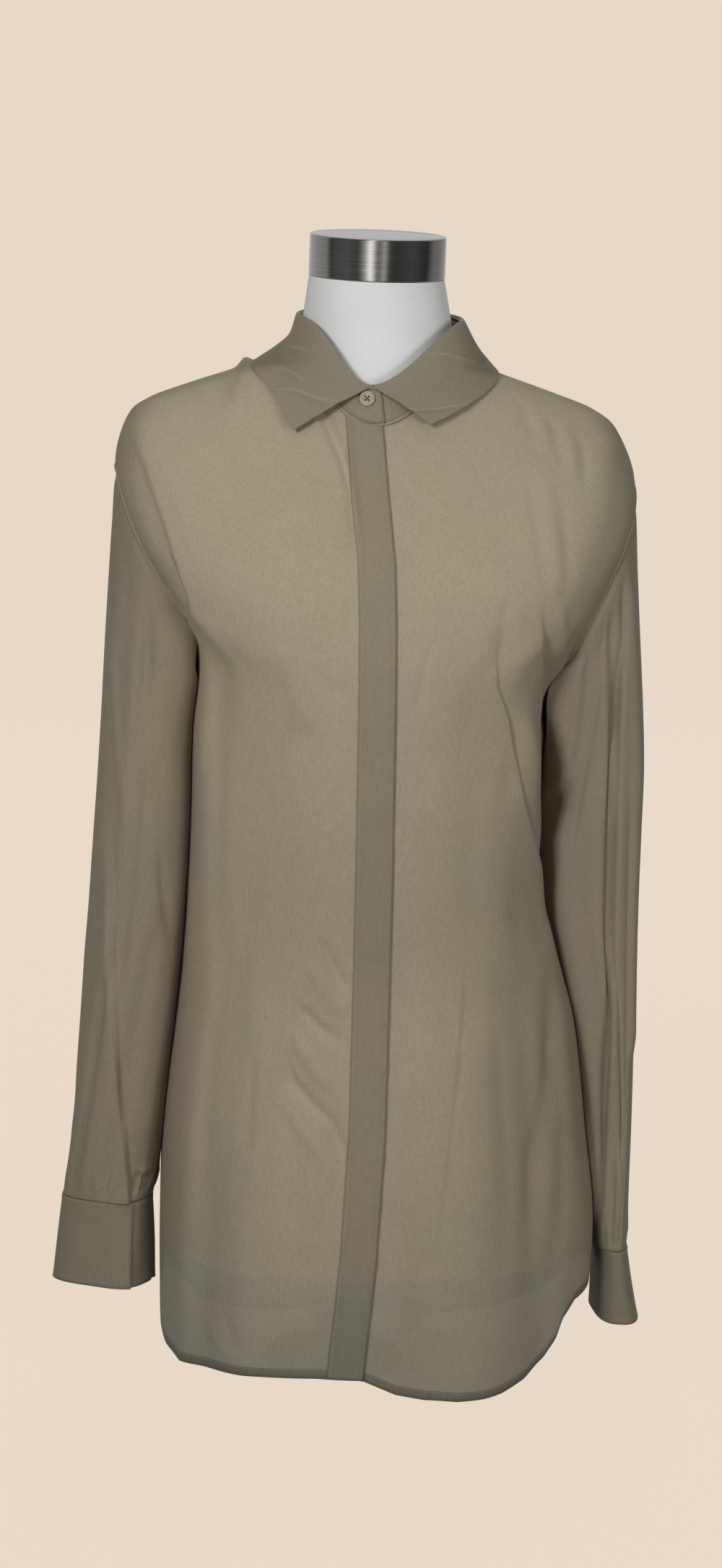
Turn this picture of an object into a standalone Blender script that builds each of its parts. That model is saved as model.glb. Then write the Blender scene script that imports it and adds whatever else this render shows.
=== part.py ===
"""Button-up shirt with a covered-button front, standing on a limbless dress form.

The front looks along -Y, +X is the wearer's left and Z is up. The origin is on
the floor, on the neck's axis. The tables hold millimetres. A drop is a depth
below the top of the neck cap, and an angle goes round the body from centre
front (0) over the wearer's left side (90) to centre back (180).
"""

import math

import bpy
import numpy as np
from mathutils import Matrix, Vector

MM = 0.001
CAP_TOP = 911.0
CAP_RADIUS = 53.0
CAP_HEIGHT = 32.3
POST_RADIUS = 16.0
POST_BACK = 12.0
BASE_RADIUS = 55.0
BASE_THICK = 10.0
GAP = 0.3

CLOTH = 1.0
DOUBLE_CLOTH = 1.6
SEAM = 0.2
PLACKET_HALF = 14.0
PLACKET_CENTRE = ((138, -12.3), (196, -6.7), (240, -1.5), (283, 0.5), (383, 3), (485, 5.5), (588, 7),
                  (690, 7.7), (793, 4), (884, -3), (920, -5))
UNDER_EDGE = -7.0
FLY_BUTTON_DROPS = (212, 322, 432, 542, 652, 762)
BUTTON_RADIUS = 5.9
BUTTON_THICK = 1.8
BUTTON_HOLE = 0.85
BUTTON_PITCH = 1.35
COLLAR_BUTTON_ANGLE = -4.5
CUFF_WALL = 1.5

# Where the panels' rows lie, counted in rings of the tables below.
TOP_ROWS = (0, 0.6, 1.2, 2, 2.8, 3.5, 4.2)
ARM_TOP, ARM_MID, ARM_BOTTOM = 5.0, 6.0, 7.0
ARM_STEPS = 10
LOW_STEPS = 9
FRONT_COLUMNS = 15
BACK_COLUMNS = 20
ARMHOLE_FRONT, ARMHOLE_BACK = 24.6, 24.0

NECK_RINGS = (
    # right side, left side, front, back, squareness, right, left, front and back drops, spread
    (52.6, 52.6, 52.6, 52.6, 2.0, 32.6, 32.6, 32.6, 32.6, 2.0),
    (53.2, 54.4, 53.4, 54.0, 2.0, 48, 48, 50, 46, 2.0),
    (55.0, 57.5, 55.5, 57.0, 2.0, 68, 68, 76, 64, 2.0),
    (59.0, 60.5, 61.0, 60.5, 2.0, 86, 86, 108, 80, 3.0),
)
FORM_RINGS = (
    # name, half width, front, back, squareness, side drop, front drop, back drop, spread
    ("neck_root", 66, 69, 67, 2.0, 98.0, 139, 91, 3.5),
    ("shoulder_1", 98.5, 80, 80, 2.1, 106.6, 166, 114, 2.2),
    ("shoulder_2", 140.5, 91, 92, 2.2, 120.6, 198, 145, 1.8),
    ("shoulder_3", 171, 100, 100, 2.3, 133.2, 228, 180, 1.5),
    ("shoulder_end", 181, 107, 105, 2.4, 151, 256, 212, 1.4),
    ("arm_plate", 179, 111, 107, 2.3, 190, 281, 245, 1.4),
    ("arm_root", 158, 113, 107, 2.2, 250, 306, 285, 1.4),
    ("bust", 131, 112, 103, 2.1, 312, 333, 325, 1.4),
    ("under_bust", 123, 103, 96, 2.1, 390, 390, 390, 1.4),
    ("ribs", 115, 94, 89, 2.1, 450, 450, 450, 1.4),
    ("waist", 107, 87, 85, 2.1, 520, 520, 520, 1.4),
    ("belly", 110, 91, 92, 2.1, 575, 575, 575, 1.4),
    ("high_hip", 117, 96, 100, 2.1, 620, 620, 620, 1.4),
    ("hip", 126, 102, 110, 2.1, 700, 700, 700, 1.4),
    ("seat", 125, 103, 109, 2.1, 790, 790, 790, 1.4),
)

SHIRT_RINGS = (
    # name, right side, left side, front, back, squareness,
    # right drop, left drop, front drop, back drop, spread
    ("neckline", 70, 70, 76, 71, 2.0, 95.5, 95.5, 140, 89, 3.5),
    ("shoulder_1", 99.5, 99.5, 85, 83, 2.1, 105.5, 105.5, 167, 112, 2.2),
    ("shoulder_2", 142, 142, 96, 95, 2.2, 119.5, 119.5, 199, 143.5, 1.8),
    ("shoulder_3", 173.5, 174.5, 104, 104, 2.3, 131.9, 131.9, 229, 178, 1.5),
    ("shoulder_end", 190, 194, 111, 109, 2.35, 147, 149, 257, 211, 1.4),
    ("armhole_top", 198.5, 209, 116, 113, 2.45, 184, 190, 283, 244, 1.4),
    ("armhole", 186, 198, 119, 115, 2.5, 225, 240, 309, 286, 1.4),
    ("underarm", 136, 150, 120.5, 115, 3.0, 306, 342, 337, 327, 1.4),
    ("chest", 134.5, 147, 119, 113, 2.8, 390, 392, 390, 390, 1.4),
    ("ribs", 134, 147, 116.5, 111, 2.65, 450, 450, 450, 450, 1.4),
    ("waist", 134.5, 148, 114, 110, 2.5, 520, 520, 520, 520, 1.4),
    ("belly", 136, 168, 113, 112, 2.45, 575, 575, 575, 575, 1.4),
    ("high_hip", 139, 182, 113.5, 116, 2.4, 620, 620, 620, 620, 1.4),
    ("hip", 144.5, 193, 116, 122, 2.35, 700, 700, 700, 700, 1.4),
    ("seat", 144, 204, 120, 127, 2.3, 790, 790, 790, 790, 1.4),
    ("hem", 139, 197, 124, 131, 2.2, 915, 915, 915, 915, 1.4),
)

HEM = (
    # angle, drop
    (-180, 903), (-150, 900), (-130, 884), (-116, 852), (-104, 828), (-96, 848),
    (-88, 874), (-80, 886), (-68, 893), (-47, 889), (-20, 886.5), (-3, 885),
    (2.5, 885.5), (6.3, 891), (11, 898), (18, 903), (26, 905), (33, 903.5),
    (38, 901), (47, 893), (54.5, 880), (58.5, 866), (60.5, 850), (66, 837),
    (80, 829.5), (90, 822), (96, 818), (106, 832), (120, 864), (134, 888),
    (155, 902), (180, 903),
)

BODY_FOLDS = (
    # name, top angle, top drop, bottom angle, bottom drop, width, depth
    ("left_chest_ridge", 41, 320, 58, 400, 15, 4.0),
    ("left_side_ridge", 58, 400, 74, 535, 15, 6.0),
    ("left_side_trough", 72, 400, 84, 470, 13, -5.0),
    ("left_hip_trough", 46, 600, 52, 880, 20, -5.0),
    ("left_hip_ridge", 30, 640, 33, 880, 18, 4.0),
    ("left_centre_trough", 15, 560, 19, 860, 15, -3.0),
    ("left_armpit", 55, 215, 47, 300, 14, -3.5),
    ("right_armpit", -52, 235, -50, 330, 14, -3.0),
    ("right_side_trough", -62, 380, -55, 560, 18, -3.5),
    ("right_waist_ridge", -36, 560, -34, 860, 20, 3.5),
    ("right_low_trough", -56, 640, -54, 870, 17, -4.0),
    ("right_centre_trough", -20, 620, -16, 860, 15, -2.5),
    ("back_ridge_1", -150, 300, -146, 890, 22, 8.0),
    ("back_trough_1", -172, 430, -166, 880, 24, -7.0),
    ("back_ridge_2", 168, 260, 172, 890, 22, 7.0),
    ("back_trough_2", 146, 330, 148, 880, 20, -7.5),
    ("back_ridge_3", 126, 360, 124, 850, 19, 7.0),
    ("back_trough_3", -126, 380, -128, 850, 19, -6.0),
    ("right_side_ridge", -112, 420, -108, 790, 16, 5.0),
    ("left_side_back", 108, 450, 106, 790, 16, -5.0),
)

RIGHT_SLEEVE = (
    # name, drop, centre x, centre y, half width, half depth, turn, squareness
    ("upper_arm", 385, -171.5, 4, 32.0, 68, 0, 2.2),
    ("elbow_1", 450, -172.5, 6, 33.0, 70, 0, 2.2),
    ("elbow_2", 530, -174.5, 6, 34.0, 67, -2, 2.2),
    ("forearm_1", 610, -178.0, 6, 33.5, 61, -5, 2.2),
    ("forearm_2", 690, -183.0, 5, 32.5, 52, -9, 2.3),
    ("forearm_3", 740, -184.8, 3, 33.0, 42, -17, 2.5),
    ("cuff_seam", 770, -187.0, 1, 34.0, 32, -25, 2.8),
)
RIGHT_CUFF = (
    ("top", 770, -187.0, 1, 34.0, 32, -25, 2.8),
    ("middle", 805, -187.5, 0, 37.0, 31, -27, 3.0),
    ("bottom", 840, -188.0, 0, 39.5, 30, -29, 3.0),
)
LEFT_SLEEVE = (
    ("upper_arm", 400, 193.5, 6, 33.0, 66, 0, 2.2),
    ("elbow_1", 460, 194.5, 8, 33.5, 69, 0, 2.2),
    ("elbow_2", 530, 198.0, 12, 31.0, 68, 0, 2.2),
    ("forearm_1", 600, 207.0, 16, 22.0, 68, 0, 2.2),
    ("forearm_2", 680, 215.5, 18, 14.5, 66, 0, 2.3),
    ("forearm_3", 750, 218.5, 18, 12.0, 60, 0, 2.4),
    ("cuff_seam", 804, 219.5, 16, 12.0, 50, 0, 2.5),
)
LEFT_CUFF = (
    ("top", 804, 219.5, 16, 12.0, 50, 0, 2.5),
    ("middle", 834, 223.0, 16, 14.0, 49, 0, 2.5),
    ("bottom", 865, 226.5, 16, 17.0, 48, 0, 2.5),
)
SLEEVE_FOLDS = (
    # sleeve, name, top angle, top drop, bottom angle, bottom drop, width, depth
    ("right", "inner_fold", 112, 560, 92, 745, 9, -6.0),
    ("right", "front_fold", 62, 600, 55, 760, 8, -4.0),
    ("right", "outer_ridge", 30, 250, 34, 480, 12, 3.0),
    ("right", "front_trough", 84, 330, 78, 560, 11, -4.0),
    ("right", "back_fold", 250, 420, 262, 740, 12, -6.0),
    ("right", "back_ridge", 300, 330, 296, 700, 12, 4.0),
    ("left", "front_trough", 78, 300, 84, 700, 11, -5.0),
    ("left", "front_ridge", 48, 260, 52, 620, 10, 4.0),
    ("left", "inner_fold", 118, 470, 108, 760, 10, -3.0),
    ("left", "back_fold", 262, 400, 270, 760, 12, -5.0),
    ("left", "back_ridge", 298, 330, 300, 720, 12, 4.0),
)

BAND_TOP = (58.0, 64.5, 71.0, 63.0, 2.0, 64.0, 64.0, 113.0, 59.0, 4.0)
BAND_START, BAND_END = 6.0, -374.0
BAND_LIFT = 1.7
OPENING_SHIFT = -7.0
LEAF_EDGE = (
    # roll angle, x, drop, 1 on the front or -1 on the back, height over the shirt
    (-1, -63.8, 145.8, 1, 3.0), (-22, -74.5, 130, 1, 2.6), (-48, -80, 120, 1, 2.0),
    (-90, -90.5, 103, 1, 1.8), (-135, -68, 99, -1, 2.0), (-180, 0, 101.5, -1, 2.2),
    (-225, 70, 99, -1, 2.0), (-270, 96.5, 104.5, 1, 1.8), (-300, 90.5, 113.5, 1, 1.9),
    (-320, 80, 123, 1, 2.2), (-338, 64.5, 131.3, 1, 2.6), (-359, 36.5, 137.3, 1, 3.0),
)
LEAF_COLUMNS = 30

COLOURS = {
    "cloth": ((0.34, 0.30, 0.22, 1), 0.8, 0.0),
    "double_cloth": ((0.30, 0.26, 0.19, 1), 0.8, 0.0),
    "button": ((0.36, 0.31, 0.24, 1), 0.35, 0.0),
    "jersey": ((0.88, 0.88, 0.87, 1), 0.75, 0.0),
    "steel": ((0.46, 0.45, 0.43, 1), 0.3, 1.0),
    "enamel": ((0.80, 0.79, 0.77, 1), 0.4, 0.0),
}


def clear_scene():
    for obj in list(bpy.data.objects):
        bpy.data.objects.remove(obj, do_unlink=True)


def material(name):
    mat = bpy.data.materials.get(name)
    if mat is None:
        mat = bpy.data.materials.new(name)
        mat.use_nodes = True
        colour, rough, metal = COLOURS[name]
        shader = mat.node_tree.nodes["Principled BSDF"]
        shader.inputs["Base Color"].default_value = colour
        shader.inputs["Roughness"].default_value = rough
        shader.inputs["Metallic"].default_value = metal
    return mat


def add_mesh(name, points, faces, look):
    mesh = bpy.data.meshes.new(name)
    mesh.from_pydata([tuple(p * MM) for p in np.asarray(points)], [], faces)
    mesh.validate()
    mesh.shade_smooth()
    mesh.materials.append(material(look))
    obj = bpy.data.objects.new(name, mesh)
    bpy.context.collection.objects.link(obj)
    return obj


def smooth(value):
    value = np.clip(value, 0.0, 1.0)
    return value * value * (3.0 - 2.0 * value)


def along(rows, place):
    """Rows of numbers read at fractional places, on one smooth curve through them."""
    rows = np.asarray(rows, float)
    place = np.clip(np.asarray(place, float), 0.0, len(rows) - 1.0)
    low = np.minimum(place.astype(int), len(rows) - 2)
    part = (place - low)[..., None]
    before = rows[np.maximum(low - 1, 0)]
    start, end = rows[low], rows[low + 1]
    after = rows[np.minimum(low + 2, len(rows) - 1)]
    slope_in = np.where((low == 0)[..., None], end - start, (end - before) / 2)
    slope_out = np.where((low == len(rows) - 2)[..., None], end - start, (after - start) / 2)
    two, three = part ** 2, part ** 3
    return ((2 * three - 3 * two + 1) * start + (three - 2 * two + part) * slope_in
            + (3 * two - 2 * three) * end + (three - two) * slope_out)


def table_at(table, value):
    """The second column read where the first has this value."""
    return np.interp(value, [row[0] for row in table], [row[1] for row in table])


def ring_point(ring, angle):
    """The point at this angle on a ring of half widths, depths and drops."""
    right, left, front, back, square, drop_r, drop_l, drop_f, drop_b, spread = np.moveaxis(
        np.asarray(ring, float), -1, 0)
    sine, cosine = np.sin(np.radians(angle)), np.cos(np.radians(angle))
    reach = np.maximum(1.0 - np.abs(sine) ** square, 0.0) ** (1.0 / square)
    x = np.where(sine < 0, right, left) * sine
    y = np.where(cosine > 0, -front, back) * reach
    side = np.where(sine < 0, drop_r, drop_l)
    middle = np.where(cosine > 0, drop_f, drop_b)
    drop = side + (middle - side) * reach ** spread
    return np.stack([x, y, CAP_TOP - drop], -1)


def fold_height(folds, angle, drop, mm_per_degree):
    """How far the folds move the cloth out here."""
    height = np.zeros(np.broadcast(angle, drop).shape)
    for _, top_angle, top_drop, low_angle, low_drop, width, depth in folds:
        turn = (np.asarray(angle) - top_angle + 180.0) % 360.0 - 180.0
        run = np.array([(low_angle - top_angle) * mm_per_degree, low_drop - top_drop])
        place = np.stack([turn * mm_per_degree, np.asarray(drop) - top_drop + 0 * turn], -1)
        length = float(run @ run)
        part = np.clip(place @ run / length, 0.0, 1.0)
        off = place - part[..., None] * run
        away = np.hypot(off[..., 0], off[..., 1] * 0.45)
        height = height + depth * np.exp(-((away / width) ** 2))
    return height


SHIRT = np.array([row[1:] for row in SHIRT_RINGS], float)
FORM = np.array([(row[1], row[1]) + row[2:5] + (row[5],) * 2 + row[6:9]
                 for row in FORM_RINGS], float)


def shirt_base(level, angle):
    return ring_point(along(SHIRT, level), angle)


def normals_of(surface, level, angle):
    """Outward unit normals of a surface given by level and angle."""
    low, high = np.clip(level - 0.02, 0.0, 15.0), np.clip(level + 0.02, 0.0, 15.0)
    down = surface(high, angle) - surface(low, angle)
    round_ = surface(level, angle + 0.6) - surface(level, angle - 0.6)
    normal = np.cross(down, round_)
    return normal / np.linalg.norm(normal, axis=-1, keepdims=True)


def shirt_surface(level, angle):
    level, angle = np.broadcast_arrays(np.asarray(level, float), np.asarray(angle, float))
    point = shirt_base(level, angle)
    drop = CAP_TOP - point[..., 2]
    # Folds die out above the armhole, where the cloth lies on the shoulders.
    calm = smooth((drop - 185.0) / 60.0)
    height = fold_height(BODY_FOLDS, angle, drop, 2.3) * calm
    return point + normals_of(shirt_base, level, angle) * height[..., None]


def hem_level(angle):
    """The level at which the cloth ends at this angle."""
    angle = (np.asarray(angle, float) + 180.0) % 360.0 - 180.0
    levels = np.linspace(8.0, len(SHIRT) - 1.0, 200)
    drops = along(SHIRT, levels)[:, 7]
    return np.interp(table_at(HEM, angle), drops, levels)


def side_angle(level, side):
    """Where the shoulder seam and the side seam lie."""
    shift = smooth((np.asarray(level, float) - 7.0) / 6.0)
    return side * (90.0 + (12.0 if side < 0 else 1.0) * shift)


def armhole_reach(level, half):
    """How far the armhole's edge is from the side seam, in degrees."""
    height = np.clip(1.0 - (np.asarray(level, float) - ARM_MID) ** 2, 0.0, 1.0)
    return half * np.sqrt(height)


def row_levels():
    """The fixed levels of a panel's rows down to the underarm."""
    armhole = [ARM_MID - math.cos(math.pi * k / ARM_STEPS) for k in range(ARM_STEPS + 1)]
    return list(TOP_ROWS) + armhole


def panel_rows(angle_of):
    """Levels and angles of every row of a panel whose columns angle_of gives."""
    fixed = row_levels()
    levels, angles = [], []
    for level in fixed:
        angle = angle_of(np.array(level))
        levels.append(np.full(len(angle), level))
        angles.append(angle)
    for step in range(1, LOW_STEPS + 1):
        part = step / LOW_STEPS
        level = np.full(len(angles[0]), fixed[-1] + (15.0 - fixed[-1]) * part)
        for _ in range(4):
            angle = angle_of(level)
            level = fixed[-1] + (hem_level(angle) - fixed[-1]) * part
        levels.append(level)
        angles.append(angle)
    return np.array(levels), np.array(angles)


def placket_angle(level, offset):
    """The angle of a line that runs beside the placket's centre."""
    ring = along(SHIRT, level)
    drop = ring[..., 7]
    x = table_at(PLACKET_CENTRE, drop) + offset
    half = np.where(x < 0, ring[..., 0], ring[..., 1])
    return np.degrees(np.arcsin(x / half))


def front_angles(side):
    """The column angles of a front, from under the placket to the side."""
    part = np.linspace(0.0, 1.0, FRONT_COLUMNS + 1)

    def angle_of(level):
        # The cloth follows the placket's line, level by level.
        edge = side_angle(level, side) - side * armhole_reach(level, ARMHOLE_FRONT)
        start = placket_angle(level, UNDER_EDGE)
        return start + (edge - start) * part

    return angle_of


def back_angles(level):
    part = np.linspace(-1.0, 1.0, BACK_COLUMNS + 1)
    reach = armhole_reach(level, ARMHOLE_BACK)
    right = 180.0 + side_angle(level, -1) - reach
    left = 180.0 - side_angle(level, 1) - reach
    turned = np.where(part < 0, -part * right, -part * left)
    return np.where(turned > 0, turned - 180.0, 180.0 + turned)


def trim_edges(points, amounts):
    """Draws the edges of a grid in along its own surface, so that seams keep a gap."""
    first, last, start, end = amounts
    points = points.copy()

    def pull(edge, inner, amount):
        step = inner - edge
        return edge + step / np.linalg.norm(step, axis=-1, keepdims=True) * amount

    if np.any(first):
        points[0] = pull(points[0], points[1], first)
    if last:
        points[-1] = pull(points[-1], points[-2], last)
    if start:
        points[:, 0] = pull(points[:, 0], points[:, 1], start)
    if end:
        points[:, -1] = pull(points[:, -1], points[:, -2], end)
    return points


def shell(name, middle, normals, wall, look, closed=False):
    """One sheet of cloth: a grid of middle points given a wall on both sides."""
    rows, columns = middle.shape[:2]
    outer = (middle + normals * wall / 2).reshape(-1, 3)
    inner = (middle - normals * wall / 2).reshape(-1, 3)
    count = rows * columns
    faces = []
    width = columns if closed else columns - 1

    def at(row, column):
        return row * columns + column % columns

    for row in range(rows - 1):
        for column in range(width):
            a, b = at(row, column), at(row, column + 1)
            c, d = at(row + 1, column + 1), at(row + 1, column)
            faces.append((a, d, c, b))
            faces.append((count + a, count + b, count + c, count + d))
    for column in range(width):
        a, b = at(0, column), at(0, column + 1)
        faces.append((a, b, count + b, count + a))
        a, b = at(rows - 1, column), at(rows - 1, column + 1)
        faces.append((b, a, count + a, count + b))
    if not closed:
        for row in range(rows - 1):
            a, b = at(row, 0), at(row + 1, 0)
            faces.append((b, a, count + a, count + b))
            a, b = at(row, columns - 1), at(row + 1, columns - 1)
            faces.append((a, b, count + b, count + a))
    return add_mesh(name, np.concatenate([outer, inner]), faces, look)


def grid_normals(points, closed=False):
    """Unit normals of a grid of points, by differences along its rows and columns."""
    down = np.gradient(points, axis=0)
    if closed:
        across = np.roll(points, -1, axis=1) - np.roll(points, 1, axis=1)
    else:
        across = np.gradient(points, axis=1)
    normal = np.cross(down, across)
    return normal / np.linalg.norm(normal, axis=-1, keepdims=True)


def make_panel(name, angle_of, edges):
    levels, angles = panel_rows(angle_of)
    points = shirt_surface(levels, angles)
    normals = normals_of(shirt_surface, levels, angles)
    points = trim_edges(points, edges)
    return points, normals


def make_fronts():
    for name, side, edge in (("front_right", -1, 0.3), ("front_left", 1, 0.3)):
        points, normals = make_panel(name, front_angles(side), (0.3, 0, edge, SEAM))
        if side < 0:
            points, normals = points[:, ::-1], normals[:, ::-1]
        shell(name, points, normals, CLOTH, "cloth")


def make_back():
    points, normals = make_panel("back", back_angles, (0.3, 0, SEAM, SEAM))
    shell("back", points[:, ::-1], normals[:, ::-1], CLOTH, "cloth")


def make_placket():
    """A doubled strip over both fronts' edges: sewn on one side, free on the other."""
    across = (-1.0, -0.45, 0.3, 1.0)
    low = CLOTH / 2 + GAP + DOUBLE_CLOTH / 2
    high = CLOTH / 2 + 2 * GAP + BUTTON_THICK + DOUBLE_CLOTH / 2 + 0.4
    lifts = np.array([low, high, high, high - 0.6])

    def angle_of(level):
        return np.stack([placket_angle(level, PLACKET_HALF * part) for part in across], -1)

    def angle_rows(level):
        level = np.asarray(level, float)
        if level.ndim == 0:
            return angle_of(level)
        return np.array([placket_angle(level[i], PLACKET_HALF * across[i])
                         for i in range(len(across))])

    levels, angles = panel_rows(angle_rows)
    levels[0] += 0.06
    points = shirt_surface(levels, angles)
    normals = normals_of(shirt_surface, levels, angles)
    points = points + normals * lifts[None, :, None]
    shell("placket", points, normals, DOUBLE_CLOTH, "double_cloth")


def armhole_loop(side):
    """The armhole's edge points and body normals, from the top down the front and up the back."""
    steps = list(range(ARM_STEPS + 1)) + list(range(ARM_STEPS - 1, 0, -1))
    front = [True] * (ARM_STEPS + 1) + [False] * (ARM_STEPS - 1)
    levels = np.array([ARM_MID - math.cos(math.pi * k / ARM_STEPS) for k in steps])
    reach = np.where(front, armhole_reach(levels, ARMHOLE_FRONT),
                     -armhole_reach(levels, ARMHOLE_BACK))
    angles = side_angle(levels, side) - side * reach
    return shirt_surface(levels, angles), normals_of(shirt_surface, levels, angles)


def sleeve_ring(row, side, turn_angle):
    """A sleeve's section at one height. The angle goes from outside over the front."""
    drop, x, y, half_width, half_depth, turn, square = row
    cosine, sine = np.cos(np.radians(turn_angle)), np.sin(np.radians(turn_angle))
    size = (np.abs(cosine) ** square + np.abs(sine) ** square) ** (-1.0 / square)
    out = side * half_width * cosine * size
    front = -half_depth * sine * size
    c, s = math.cos(math.radians(turn)), math.sin(math.radians(turn))
    return np.stack([x + out * c - front * s, y + out * s + front * c,
                     np.full_like(out, CAP_TOP - drop)], -1)


def make_sleeve(name, side, sections, cuff_name, cuff):
    loop, body_normals = armhole_loop(side)
    turn_angle = np.arange(2 * ARM_STEPS) * 180.0 / ARM_STEPS
    table = np.array([row[1:] for row in sections], float)
    first = sleeve_ring(table[0], side, turn_angle)
    # Under the arm the sleeve turns back along the body, so it starts outside it.
    under = np.clip(-1.6 * np.cos(np.radians(turn_angle)), 0.0, 1.0)
    loop = loop + body_normals * (CLOTH + GAP + 0.2) * under[:, None]
    rings = []
    for part in (0.0, 0.14, 0.34, 0.56, 0.78):
        rings.append(loop + (first - loop) * part)
    for place in (0, 1, 2, 3, 4, 4.6, 5.3, 6):
        rings.append(sleeve_ring(along(table, place), side, turn_angle))
    grid = np.array(rings)
    flat = grid_normals(grid, closed=True) * -side
    drop = CAP_TOP - grid[..., 2]
    last_drop = table[-1, 0]
    calm = smooth((drop - 200.0) / 80.0) * smooth((last_drop + 4.0 - drop) / 30.0)
    which = "right" if side < 0 else "left"
    folds = [row[1:] for row in SLEEVE_FOLDS if row[0] == which]
    height = fold_height(folds, turn_angle[None, :] + 0 * drop, drop, 0.95) * calm
    grid = grid + flat * height[..., None]
    normals = grid_normals(grid, closed=True) * -side
    # At the armhole the sleeve leaves along the body's own surface where both face one way.
    agree = np.clip((normals[0] * body_normals).sum(-1), 0.0, 1.0)[:, None]
    joined = normals[0] + body_normals * agree
    normals[0] = joined / np.linalg.norm(joined, axis=-1, keepdims=True)
    corner = 0.3 + 0.65 * np.sqrt(1.0 - agree ** 2)
    grid = trim_edges(grid, (corner, 0.0, 0, 0))
    if side > 0:
        grid, normals = grid[:, ::-1], normals[:, ::-1]
    shell(name, grid, normals, CLOTH, "cloth", closed=True)
    make_cuff(cuff_name, side, cuff)


CUFF_OVERLAP = 30.0
CUFF_START = 262.0


def cuff_grid(side, cuff, angles):
    table = np.array([row[1:] for row in cuff], float)
    rings = []
    for place in (0.0, 1.0, 2.0):
        rings.append(sleeve_ring(along(table, place), side, angles))
    grid = np.array(rings)
    grid[0, :, 2] -= 0.55
    return grid


def make_cuff(name, side, cuff):
    """A deep strip once round the wrist, its end lapped over its start and buttoned."""
    columns = 24
    angles = CUFF_START + np.linspace(0.0, 360.0 + CUFF_OVERLAP, columns + 1)
    grid = cuff_grid(side, cuff, angles)
    normals = grid_normals(grid) * -side
    past = (angles - CUFF_START - (360.0 - 45.0)) / 40.0
    lift = smooth(past) * (CUFF_WALL + GAP + 0.2)
    grid = grid + normals * lift[None, :, None]
    normals = grid_normals(grid) * -side
    if side > 0:
        shell(name, grid[:, ::-1], normals[:, ::-1], CUFF_WALL, "double_cloth")
    else:
        shell(name, grid, normals, CUFF_WALL, "double_cloth")
    spot = CUFF_START + 360.0 + CUFF_OVERLAP * 0.5
    near = cuff_grid(side, cuff, spot + np.array([-2.0, 0.0, 2.0]))
    out = (grid_normals(near) * -side)[1, 1]
    point = near[1, 1] + out * (CUFF_WALL * 1.5 + 2 * GAP + 0.2)
    place_button(name.replace("cuff", "cuff_button"), point, out)


def collar_ring(row, angles, shift):
    """A ring of the collar, its front drawn towards the opening."""
    points = ring_point(np.broadcast_to(np.array(row, float), (len(angles), 10)), angles)
    facing = np.maximum(np.cos(np.radians(angles)), 0.0) ** 4
    points[:, 0] += shift * facing
    return points


def collar_band():
    """A stand round the neck, its right end lapped over the left one at the front."""
    angles = np.linspace(BAND_START, BAND_END, 31)
    base = collar_ring(SHIRT[0], angles, OPENING_SHIFT * 0.5)
    top = collar_ring(BAND_TOP, angles, OPENING_SHIFT)
    normals = -grid_normals(np.array([top, (top + base) / 2, base]))
    lift = BAND_LIFT * (1.0 - smooth((BAND_START - angles) / 42.0))
    clear = 1.5 + 1.15 * lift
    base = base + across_edge(base, normals[2]) * clear[:, None]
    grid = np.array([top, (top + base) / 2, base])
    normals = -grid_normals(grid)
    grid = grid + normals * lift[None, :, None]
    normals = -grid_normals(grid)
    return angles, grid, normals


def place_on_shirt(x, drop, facing):
    """The level and angle on the shirt of the point at this x and drop."""
    low, high = 0.0, 4.0
    for _ in range(30):
        level = np.array((low + high) / 2)
        half = along(SHIRT, level)[0 if x < 0 else 1]
        angle = math.degrees(math.asin(max(-1.0, min(1.0, x / half))))
        angle = np.array(angle if facing > 0 else 180.0 - angle)
        if CAP_TOP - shirt_surface(level, angle)[2] < drop:
            low = float(level)
        else:
            high = float(level)
    return float(level), float(angle)


def across_edge(curve, normals):
    """Unit directions in a sheet, square to one of its long edges and upwards."""
    run = np.gradient(curve, axis=0)
    square = np.cross(run, normals)
    square = square / np.linalg.norm(square, axis=-1, keepdims=True)
    return square * np.sign(square[:, 2:3])


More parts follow.
